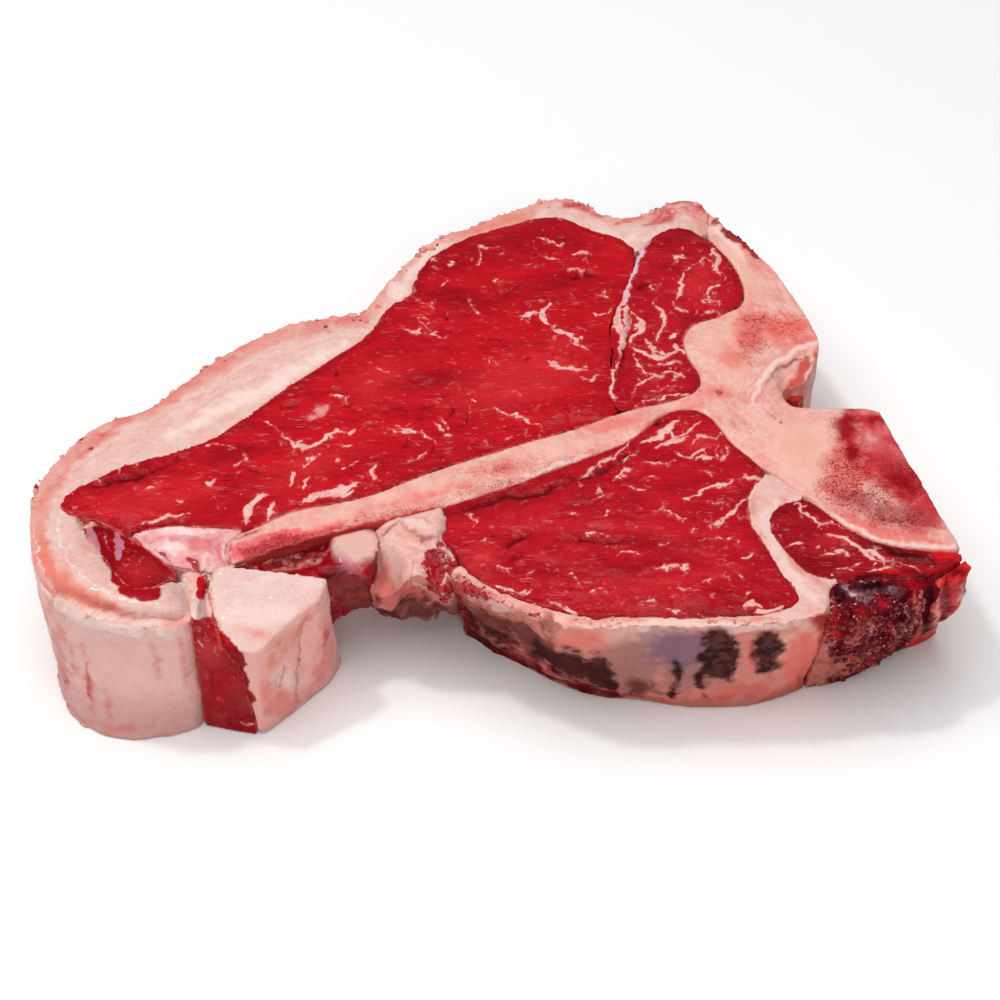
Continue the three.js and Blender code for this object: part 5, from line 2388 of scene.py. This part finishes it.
def tenderloin_fat() -> Fat:
    """Fat and skin on the tenderloin's side, with the seam to the side muscle.

    Returns:
        The fat, ready to be built.
    """
    rim = (
        (462, 582), (474, 590), (489, 597), (503, 604), (520, 611), (537, 617), (556, 621), (575, 624),
        (597, 626),
    )
    notches = tuple(line(2.4, (x, y - 5), (x + 3, y + 8)) for x, y in rim)
    marks = {
        "cream": (
            line(20, (590, 636), (640, 634), (690, 628), taper=0.6), spot(812, 628, 14, 9),
            spot(790, 650, 12, 20), line(10, (540, 628), (575, 640), (600, 650)),
        ),
        "grey": (spot(632, 668, 34, 24), spot(690, 676, 36, 16), spot(500, 640, 30, 9, 28)),
        "brown": (
            line(30, (436, 590), (462, 610), (500, 630), (544, 652), taper=0.8),
            line(16, (480, 644), (520, 664), (570, 686), (612, 698), taper=0.7), spot(578, 673, 46, 12, 24),
            line(7, (538, 626), (546, 636), (552, 648)), line(7, (676, 660), (678, 680), (672, 697)),
            line(7, (702, 660), (699, 676), (702, 692)), spot(640, 690, 14, 6),
        ),
        "blue": (spot(678, 648, 34, 19, 5), spot(700, 652, 14, 16)),
        "dark": (
            line(20, (536, 653), (562, 662), (590, 672), (612, 686), taper=0.6),
            line(10, (568, 656), (592, 662), (608, 672), taper=0.5), spot(719, 657, 20, 26, 0),
            spot(768, 653, 15, 21, 10), line(16, (430, 594), (450, 610), (476, 622), (504, 640), taper=0.7),
            line(11, (440, 612), (470, 634), (510, 656), taper=0.5),
            line(7, (676, 660), (678, 680), (672, 699)), line(8, (702, 672), (698, 684), (702, 696)),
        ),
        "blush": (
            line(9, (455, 588), (480, 600), (510, 613), (560, 626), taper=0.7), spot(822, 622, 9, 10),
            spot(824, 640, 9, 20), spot(806, 664, 22, 20), spot(750, 692, 44, 9), spot(745, 630, 10, 5),
            line(4, (756, 490), (750, 522), (766, 560), (792, 604)),
            line(4, (784, 498), (778, 524), (796, 566), (826, 588)),
        ),
        "blood": (
            spot(824, 622, 8, 9), spot(830, 636, 7, 14),
            line(5, (450, 630), (490, 646), (530, 662), (580, 682)), spot(826, 662, 6, 8),
            spot(455, 596, 8, 5), line(3, (820, 640), (817, 676)),
            line(4, (440, 604), (460, 620), (478, 632)),
        ),
        "white": (
            line(9, (470, 592), (500, 605), (540, 617), (590, 624), taper=0.8),
            line(10, (600, 624), (680, 622), (760, 627), (800, 622), taper=0.6),
            line(8, (776, 500), (762, 520), (790, 572), (815, 600), taper=0.6),
            line(6, (715, 440), (740, 460), (765, 480)),
        ),
        "crease": (
            *notches, line(4, (520, 622), (535, 650)), line(4, (590, 632), (604, 668)),
            line(3, (735, 640), (742, 690)), line(3, (808, 640), (804, 692)),
            line(4, (455, 596), (470, 622)),
        ),
        "rags": (
            line(24, (452, 578), (500, 606), (560, 628), (640, 634), (720, 632), (806, 616), taper=0.8),
        ),
        "edge_blood": (
            line(7, (428, 612), (450, 634), (480, 650), (520, 668), (570, 684), (620, 698), taper=0.7),
            line(3, (470, 612), (486, 628), (492, 640)), line(3, (510, 634), (520, 652)),
        ),
        "fold": (
            line(3, (448, 606), (462, 622), (470, 640)), line(4, (478, 618), (490, 634), (500, 650)),
            line(3, (508, 630), (520, 644), (530, 660)), line(2.4, (545, 668), (570, 676), (600, 684)),
        ),
        "tuft": (
            line(12, (452, 576), (476, 587), (500, 598), (530, 609), (556, 621), taper=0.8),
            line(9, (566, 620), (600, 622), (640, 618), taper=0.7),
            line(5, (700, 620), (780, 620), taper=0.5),
        ),
        "gash": (
            line(9, (549, 616), (552, 628), (552, 642), taper=0.7),
            line(6, (440, 590), (456, 598), (470, 606)), spot(452, 588, 7, 6),
            line(6, (442, 602), (462, 618), (482, 634)), line(4, (496, 640), (520, 652)),
        ),
        "lean": (
            line(13, (452, 576), (472, 588), (492, 599), taper=0.5),
            line(7, (446, 590), (452, 604), (462, 614), taper=0.5),
            line(4, (500, 604), (520, 610), (540, 618)),
        ),
        # Salmon patches, lighter than the fat's own colour where this front wall gets little light: partly
        # painted light.
        "salmon": (
            spot(581, 641, 22, 11, 8), spot(804, 664, 21, 30), spot(806, 672, 14, 14),
            line(9, (740, 634), (752, 650), (750, 684)), line(6, (600, 690), (660, 700), (760, 698)),
        ),
    }
    layers = (
        Layer("skin", (216, 132, 120), feather=1.8, tear=0.8, strength=0.85),
        Layer("cream", (234, 182, 168), feather=3.0, tear=1.2, strength=0.75),
        Layer("blush", (216, 100, 90), feather=3.0, tear=1.4, strength=0.55),
        Layer("grey", (162, 112, 104), feather=3.6, tear=1.4, strength=0.8),
        # Salmon: the fat's colour, with painted light in part.
        Layer("salmon", (234, 118, 108), feather=2.8, tear=1.5, strength=0.85, broken=0.15),
        Layer("brown", (134, 66, 60), feather=2.6, tear=1.3, strength=0.9, deep=(74, 22, 26)),
        Layer("blood", (160, 12, 24), feather=2.2, tear=1.0, strength=0.8),
        Layer("blue", (126, 100, 118), feather=3.6, tear=1.4, strength=0.88),
        Layer("dark", (76, 36, 36), feather=2.2, tear=1.4, strength=0.98, broken=0.1, deep=(34, 10, 14)),
        # Painted shade: the lowest few millimetres of the wall darkened.
        Layer("low", (116, 42, 40), feather=6.0, tear=2.0, reach=-9.0, strength=0.4),
        Layer("edge_blood", (104, 8, 20), feather=1.6, tear=0.9, strength=0.9),
        Layer("fold", (178, 108, 104), feather=1.2, tear=1.0, strength=0.7, broken=0.3),
        Layer("white", (240, 204, 196), feather=1.6, tear=0.9, strength=0.8),
        Layer("tuft", (228, 138, 128), feather=1.8, tear=1.3, strength=0.75, height=0.25, broken=0.5),
        Layer("gash", (142, 48, 46), feather=2.4, tear=1.4, strength=0.6, broken=0.2),
        Layer(
            "lean", (206, 38, 50), feather=1.0, tear=1.4, strength=0.85, broken=0.6, height=0.15,
            deep=(138, 8, 22),
        ),
    )
    finish = Finish(
        Ground.FAT, PALE_FAT, PINK_FAT, layers, wet=0.25, dry=0.5, gloss=0.06, bump=0.6, shine=0.0,
        glow=0.1,
    )
    return Fat(
        "tenderloin_fat", Slot.FAT, finish, voxel=0.5, rise=0.0, reach=0.6, marks=marks, wall_rounds=70,
        lump=0.9, ragged=1.8,
    )


def kidney_fat() -> Fat:
    """Lumps of fat in the bay under the arm.

    Returns:
        The fat, ready to be built.
    """
    marks = {
        "lean": (
            line(17, (430, 550), (438, 566), (448, 584), taper=0.6),
            line(12, (442, 546), (454, 562), (464, 580), taper=0.6),
            line(8, (424, 560), (430, 572), (428, 586)),
            line(9, (452, 580), (460, 592), (464, 604), taper=0.6), spot(350, 562, 10, 12),
            line(5, (345, 535), (352, 522)), line(6, (332, 575), (345, 590), (360, 598)),
        ),
        "white": (
            line(3.4, (436, 546), (448, 550), (458, 558)), line(3, (444, 552), (446, 562), (440, 574)),
            line(3.4, (414, 580), (426, 588), (440, 590)), line(2.4, (452, 562), (460, 572), (462, 582)),
            line(2, (440, 580), (450, 586)),
        ),
        "dark": (
            line(6, (398, 600), (430, 602), (450, 612)), line(5, (362, 560), (368, 585), (376, 602)),
            spot(380, 604, 10, 4),
        ),
        "slit": (
            line(2, (378, 530), (372, 550), (370, 572)), line(2, (400, 524), (420, 536), (440, 540)),
            line(1.6, (405, 522), (380, 528)), line(1.4, (414, 560), (412, 582)),
        ),
        "crease": (
            line(4, (378, 530), (371, 552), (370, 580)), line(3.4, (398, 526), (418, 540), (442, 544)),
            line(3, (404, 584), (400, 600)), line(3, (440, 556), (420, 560)),
        ),
        "ridge": (
            line(9, (400, 527), (420, 528), (435, 536), taper=0.8),
            line(9, (436, 534), (444, 522), (457, 510), taper=0.8),
        ),
        "blush": (
            line(22, (379, 550), (387, 572), (400, 592), (424, 602), taper=0.7), spot(385, 602, 14, 8),
            spot(362, 575, 8, 14),
        ),
        "lilac": (line(5, (342, 552), (352, 566), (362, 572)), spot(432, 538, 7, 3)),
        "tuft": (
            line(6, (438, 547), (450, 551), (462, 558), taper=0.6),
            line(6, (412, 572), (420, 582), (432, 590), taper=0.6), line(4, (446, 580), (456, 590)),
        ),
        "brown": (
            line(22, (376, 602), (400, 606), (430, 616), (452, 620), taper=0.8),
            line(6, (376, 570), (378, 590)), spot(456, 606, 8, 12),
        ),
    }
    layers = (
        Layer("skin", (208, 112, 104), feather=1.8, tear=1.0, strength=0.8),
        # Painted shade: walls darker towards the table.
        Layer("low", (118, 54, 50), feather=6.0, tear=1.6, reach=2.0, strength=0.85),
        Layer("blush", (198, 96, 88), feather=3.4, tear=1.4, strength=0.85),
        Layer("lilac", (222, 184, 194), feather=1.6, tear=0.6, strength=0.6),
        Layer("brown", (150, 74, 68), feather=2.4, tear=1.2, strength=0.95, deep=(78, 22, 26)),
        Layer("dark", (92, 22, 26), feather=1.6, tear=0.8, strength=0.85),
        Layer("lean", (196, 18, 34), feather=0.8, tear=1.2, height=0.15, broken=0.1, deep=(122, 4, 16)),
        # Painted shade in the creases.
        Layer("slit", (164, 62, 60), feather=0.8, tear=0.3, strength=0.85),
        Layer("white", (240, 206, 198), feather=0.8, tear=0.6, strength=0.9, height=0.2),
    )
    finish = Finish(Ground.FAT, (238, 200, 190), (224, 156, 146), layers, bump=0.7, gloss=0.2)
    pressed = (
        (spot(378, 566, 15, 16), 7.0), (line(8, (372, 536), (388, 560), (404, 584), (420, 596)), 3.5),
        (spot(446, 574, 14, 12), 4.0), (line(5, (384, 530), (404, 537), (426, 544)), 2.4),
        (line(6, (374, 524), (371, 548), (374, 580)), 3.0),
    )
    return Fat(
        "kidney_fat", Slot.FAT, finish, voxel=0.42, rise=None, reach=0.4, marks=marks, pressed=pressed,
        wall_rounds=30, rim_rounds=8, lump=1.6, swollen=0.6, ridge_height=1.8,
    )


def corner_flap() -> Fat:
    """Loose flap at the right-hand corner.

    Returns:
        The flap, ready to be built.
    """
    marks = {
        "lean": (
            line(7, (947, 578), (948, 600), (942, 628), taper=0.7), line(7, (964, 580), (960, 606)),
            spot(958, 572, 10, 4),
        ),
        "blush": (spot(958, 570, 14, 12), line(7, (938, 574), (938, 600), (934, 624))),
        "shadow": (line(9, (926, 578), (929, 602), (926, 632), taper=0.8),),
        # Painted light: pale streaks along the crests of the folds, where they catch the light.
        "pale": (line(4, (940, 590), (936, 612), (934, 628)), line(5, (962, 584), (958, 604), (952, 622))),
        "crease": (line(5, (949, 580), (945, 604), (940, 626), taper=0.8),),
        "ridge": (
            line(6, (938, 582), (935, 606), (932, 626), taper=0.8),
            line(6, (960, 580), (956, 604), (950, 622), taper=0.8),
        ),
    }
    layers = (
        Layer("blush", (202, 28, 36), feather=2.2, tear=1.0, strength=0.8),
        Layer("lean", (120, 6, 16), feather=1.2, tear=0.8, strength=0.9),
        # Painted light on the fold crests.
        Layer("pale", (238, 160, 146), feather=1.0, tear=0.8, strength=0.85),
        Layer("shadow", (40, 2, 6), feather=1.4, tear=0.6, strength=0.95),
    )
    finish = Finish(
        Ground.FAT, (222, 72, 70), (172, 10, 26), layers, wet=0.12, dry=0.4, gloss=0.15, bump=0.4,
        shine=0.02, glow=0.05,
    )
    return Fat(
        "corner_flap", Slot.FAT, finish, voxel=0.45, rise=None, reach=0.2, marks=marks, wall_rounds=20,
        lump=0.6,
    )


def corner_lean() -> Tatters:
    """Dark wet lean at the right-hand front corner.

    Returns:
        The lean, ready to be built.
    """
    marks = {
        # The wet film's lilac grey, and a painted sheen along it.
        "film": (
            line(5, (840, 582), (856, 592), (872, 600), taper=0.4), spot(894, 590, 6, 3),
            line(3, (862, 588), (880, 590)),
        ),
        "fascia": (
            line(2.6, (828, 576), (842, 580), (862, 580), (884, 578)), line(2, (848, 584), (856, 596)),
        ),
        "fat": (
            line(10, (846, 648), (858, 634), (874, 616), taper=0.4),
            line(9, (884, 660), (896, 646), (903, 628), taper=0.5),
            line(6, (906, 640), (914, 622), (914, 606)), line(4, (862, 652), (878, 640)),
            line(7, (850, 670), (866, 658), (880, 646)), line(6, (870, 668), (888, 658), (902, 642)),
            spot(846, 676, 8, 4),
        ),
        "fresh": (
            spot(830, 622, 10, 16, -10), line(7, (908, 574), (916, 592), (920, 612), taper=0.5),
            line(6, (846, 660), (866, 664), (884, 664)), spot(862, 610, 7, 4, 20), spot(884, 606, 5, 4),
            line(4, (888, 622), (894, 634)),
        ),
        "purple": (spot(868, 596, 34, 14, 4), spot(892, 608, 16, 12)),
        "crumbly": (spot(872, 632, 50, 42, -10), spot(834, 616, 12, 24)),
        "fold": (
            line(2.6, (913, 584), (919, 604), (912, 638)), line(2.2, (905, 598), (909, 620), (901, 644)),
            line(2.2, (897, 626), (899, 642), (888, 658)), line(2, (921, 586), (925, 604), (919, 630)),
            line(3, (864, 616), (872, 626), (866, 642)),
        ),
        "wall": (
            line(22, (822, 606), (824, 632), (822, 656), (814, 688), taper=0.9),
            line(10, (826, 676), (842, 670), (856, 660), taper=0.5),
        ),
        "shadow": (
            line(6, (856, 656), (872, 648), (884, 634)), spot(850, 612, 7, 6), spot(880, 586, 12, 5),
            line(6, (880, 620), (892, 612)), line(5, (898, 654), (908, 634)),
            line(2.6, (909, 590), (914, 612), (907, 640)), line(2.4, (917, 590), (922, 606), (916, 632)),
            line(2.4, (901, 606), (904, 624), (896, 646)),
            line(8, (930, 576), (931, 600), (926, 628), taper=0.8), spot(838, 596, 6, 8),
        ),
    }
    layers = (
        Layer("wall", (206, 122, 112), feather=2.6, tear=1.5, strength=0.9, broken=0.15),
        Layer("purple", (70, 26, 36), feather=2.4, tear=1.6, strength=0.8, broken=0.25),
        Layer("fresh", (192, 14, 30), feather=2.0, tear=1.2, strength=0.85, broken=0.3),
        # Film colour with a painted sheen.
        Layer("film", (176, 146, 150), feather=1.4, tear=1.3, strength=0.75, broken=0.7),
        Layer("fat", (196, 102, 92), feather=1.6, tear=1.3, strength=0.85, height=0.15, broken=0.55),
        Layer("shadow", (30, 4, 10), feather=1.8, tear=1.2, strength=0.85, broken=0.3),
        Layer("fascia", (226, 176, 176), feather=0.5, tear=0.5, strength=0.85, height=0.15),
        Layer("fold", (220, 138, 128), feather=0.6, tear=0.5, strength=0.85, height=0.2, broken=0.3),
    )
    finish = Finish(
        Ground.MUSCLE, (136, 22, 34), (54, 3, 14), layers, wet=0.1, dry=0.4, gloss=0.07, bump=0.35,
        shine=0.0, glow=0.0, marbled=0.0,
    )
    return Tatters(
        "corner_lean", Slot.DARK_LEAN, finish, voxel=0.42, rise=None, reach=0.4, marks=marks,
        wall_rounds=10, fold=1.9,
    )


def under_bone_lean() -> Tatters:
    """Ragged lean under the arm's tip.

    Returns:
        The lean, ready to be built.
    """
    marks = {
        "fat": (
            line(4, (255, 571), (285, 567), (330, 553)), line(3, (262, 560), (300, 554)),
            line(4, (320, 591), (335, 601)), spot(290, 561, 3, 2), line(4, (340, 591), (365, 586)),
        ),
        "shadow": (
            line(10, (240, 573), (290, 579), (330, 591)), spot(330, 576, 12, 6),
            line(5, (250, 566), (330, 546)),
        ),
        "lump": (spot(355, 548, 17, 22, 80),),
        "tatter": (spot(352, 592, 26, 14, 14), line(6, (330, 588), (345, 600))),
        "lilac": (line(7, (338, 554), (346, 568), (360, 576), taper=0.7),),
    }
    layers = (
        Layer("shadow", (66, 0, 5), feather=2.4, tear=1.0, strength=0.88),
        Layer("fat", (206, 124, 116), feather=0.9, tear=1.0, strength=0.8, height=0.1, broken=0.6),
        Layer("tatter", (160, 78, 70), feather=2.4, tear=1.4, strength=0.85, broken=0.35, deep=(92, 22, 26)),
        Layer("lump", (230, 182, 172), feather=2.2, tear=0.7, strength=0.95),
        Layer("lilac", (190, 132, 146), feather=2.4, tear=1.0, strength=0.6, broken=0.3),
    )
    finish = Finish(
        Ground.MUSCLE, (180, 14, 28), (96, 2, 10), layers, wet=0.08, dry=0.34, gloss=0.25, bump=1.1,
        glow=0.0, marbled=0.4,
    )
    return Tatters(
        "under_bone_lean", Slot.DARK_LEAN, finish, voxel=0.45, rise=None, reach=0.3, marks=marks,
        wall_rounds=16, rim_rounds=10,
    )


def canal_scrap() -> Tatters:
    """Rough red scrap in the notch of the spinal canal.

    Returns:
        The scrap, ready to be built.
    """
    layers = (
        Layer("fat", (226, 140, 130), feather=1.0, tear=0.8, strength=0.8),
        Layer("shadow", (100, 8, 14), feather=1.2, tear=0.6, strength=0.8),
    )
    marks = {
        "fat": (spot(802, 368, 4, 3), line(4, (800, 378), (794, 390))),
        "shadow": (spot(792, 401, 10, 4), line(4, (786, 386), (784, 396))),
    }
    finish = Finish(
        Ground.MUSCLE, (208, 50, 42), (142, 12, 16), layers, wet=0.12, dry=0.4, gloss=0.4, bump=1.6,
        glow=0.0,
    )
    return Tatters(
        "canal_scrap", Slot.DARK_LEAN, finish, voxel=0.4, rise=None, reach=0.3, marks=marks, wall_rounds=8,
        fold=0.7,
    )


# ---- Studio --------------------------------------------------------------------------------------


@dataclass(frozen=True)
class Lamp:
    """A square soft light that faces the steak.

    Attributes:
        name: its name.
        power: its light, in watts.
        size: its breadth, in metres.
        at: where it hangs, in metres.
    """

    name: str
    power: float
    size: float
    at: tuple[float, float, float]

    def hang(self) -> None:
        """Put it into the scene."""
        data = bpy.data.lights.new(self.name, "AREA")
        data.energy = self.power
        data.size = self.size
        lamp = bpy.data.objects.new(self.name, data)
        lamp.location = self.at
        away = -np.array(self.at)
        flat = math.hypot(away[0], away[1])
        swing = math.atan2(away[1], away[0]) - math.pi / 2
        lamp.rotation_euler = (math.atan2(flat, -away[2]), 0, swing)
        bpy.context.scene.collection.objects.link(lamp)


@dataclass(frozen=True)
class Studio:
    """A pale floor under soft lights.

    Attributes:
        half: half the floor's width, in metres.
        under: how far it lies under the steak, in metres.
        pale: its colour in linear light.
        rough, shine: how dull it is, and how strongly it mirrors.
        sky: brightness of the room.
        lamps: the broad light overhead, the small ones behind and in front, and the broad one in front.
    """

    half: float = 3.0
    under: float = 0.3 * MM
    pale: float = 0.95
    rough: float = 0.9
    shine: float = 0.1
    sky: float = 0.1
    lamps: tuple[Lamp, ...] = (
        Lamp("key", 26.0, 1.9, (-0.25, -0.1, 1.6)),
        Lamp("glint", 3.2, 0.1, (-0.45, 0.1, 1.15)),
        Lamp("spark", 1.6, 0.09, (0.2, -1.1, 0.9)),
        Lamp("fill", 4.5, 1.4, (0.35, -1.5, 0.9)),
    )

    def floor(self) -> bpy.types.Object:
        """Lay the floor.

        Returns:
            The floor.
        """
        mesh = bpy.data.meshes.new("floor")
        signs = ((-1, -1), (1, -1), (1, 1), (-1, 1))
        corners = [(x * self.half, y * self.half, -self.under) for x, y in signs]
        mesh.from_pydata(corners, [], [(0, 1, 2, 3)])
        floor = bpy.data.objects.new("floor", mesh)
        bpy.context.scene.collection.objects.link(floor)
        paper = bpy.data.materials.new("paper")
        paper.use_nodes = True
        sockets = paper.node_tree.nodes["Principled BSDF"].inputs
        sockets["Base Color"].default_value = (self.pale, self.pale, self.pale, 1)
        sockets["Roughness"].default_value = self.rough
        sockets["Specular IOR Level"].default_value = self.shine
        mesh.materials.append(paper)
        return floor

    def build(self) -> None:
        """Lay the floor, hang the lights and light the room."""
        self.floor()
        for lamp in self.lamps:
            lamp.hang()
        world = bpy.data.worlds.new("room")
        world.use_nodes = True
        sockets = world.node_tree.nodes["Background"].inputs
        sockets["Color"].default_value = (1, 1, 1, 1)
        sockets["Strength"].default_value = self.sky
        bpy.context.scene.world = world
        bpy.context.scene.view_settings.view_transform = "Standard"


class Steak:
    """All pieces of the steak, in the order in which they're made."""

    makers = (
        strip_loin, multifidus, tenderloin, side_muscle, tail_lean, tail_layer, bone, gristle, tail_end,
        fat_cap, tenderloin_fat, kidney_fat, corner_flap, corner_lean, under_bone_lean, canal_scrap,
    )

    crumbs = (
        Crumbs(
            "fat_crumbs", Slot.FAT, grit((238, 186, 176), (214, 112, 104), glow=0.1, wet=0.1, gloss=0.4),
            ("fat_cap",), "rags", 0.7, (0.25, 1.25), seed=3,
        ),
        Crumbs(
            "blood_specks", Slot.DARK_LEAN, grit((186, 70, 66), (140, 24, 28), wet=0.1, gloss=0.4),
            ("fat_cap", "bone"), "rags", 0.3, (0.14, 0.6), seed=4,
        ),
        Crumbs(
            "lean_crumbs", Slot.DARK_LEAN, grit((158, 30, 40), (70, 8, 18), wet=0.04, dry=0.25, gloss=0.9),
            ("corner_lean", "bone"), "crumbly", 1.0, (0.1, 0.62), edge=False, seed=5,
        ),
        Crumbs(
            "fat_tufts", Slot.FAT, grit((238, 184, 174), (224, 136, 128), glow=0.1, wet=0.1, gloss=0.4),
            ("tenderloin_fat", "kidney_fat"), "tuft", 0.6, (0.1, 0.55), edge=False, seed=8,
        ),
        # Pale fat bits that also stand in for tiny wet glints: partly painted highlight.
        Crumbs(
            "corner_bits_and_glints", Slot.FAT, grit((240, 190, 186), (222, 130, 126), wet=0.04, dry=0.2, gloss=0.9),
            ("corner_lean",), "crumbly", 0.22, (0.08, 0.32), edge=False, seed=9,
        ),
        Crumbs(
            "torn_bits", Slot.LEAN, grit((198, 44, 50), (140, 8, 20), wet=0.08, gloss=0.5),
            ("kidney_fat", "tenderloin_fat"), "lean", 0.7, (0.25, 0.9), edge=False, seed=6,
        ),
    )

    def build(self) -> list[bpy.types.Object]:
        """Make every piece on one relief, then the crumbs on them.

        Returns:
            The pieces, with the crumbs last.
        """
        relief = Relief(RISES)
        LOG.info("relief sounded")
        made = [maker() for maker in self.makers]
        pieces = {piece.node: piece.build(relief) for piece in made}
        return [*pieces.values(), *(crumbs.build(pieces) for crumbs in self.crumbs)]


def main() -> None:
    """Build the scene in order."""
    logging.basicConfig(level=logging.INFO, format="%(relativeCreated)7d ms %(message)s")
    VIEW.camera()
    Studio().build()
    pieces = Steak().build()
    total = sum(len(piece.data.loops) - 2 * len(piece.data.polygons) for piece in pieces)
    LOG.info("%d pieces, %d triangles", len(pieces), total)


if __name__ == "__main__":
    main()
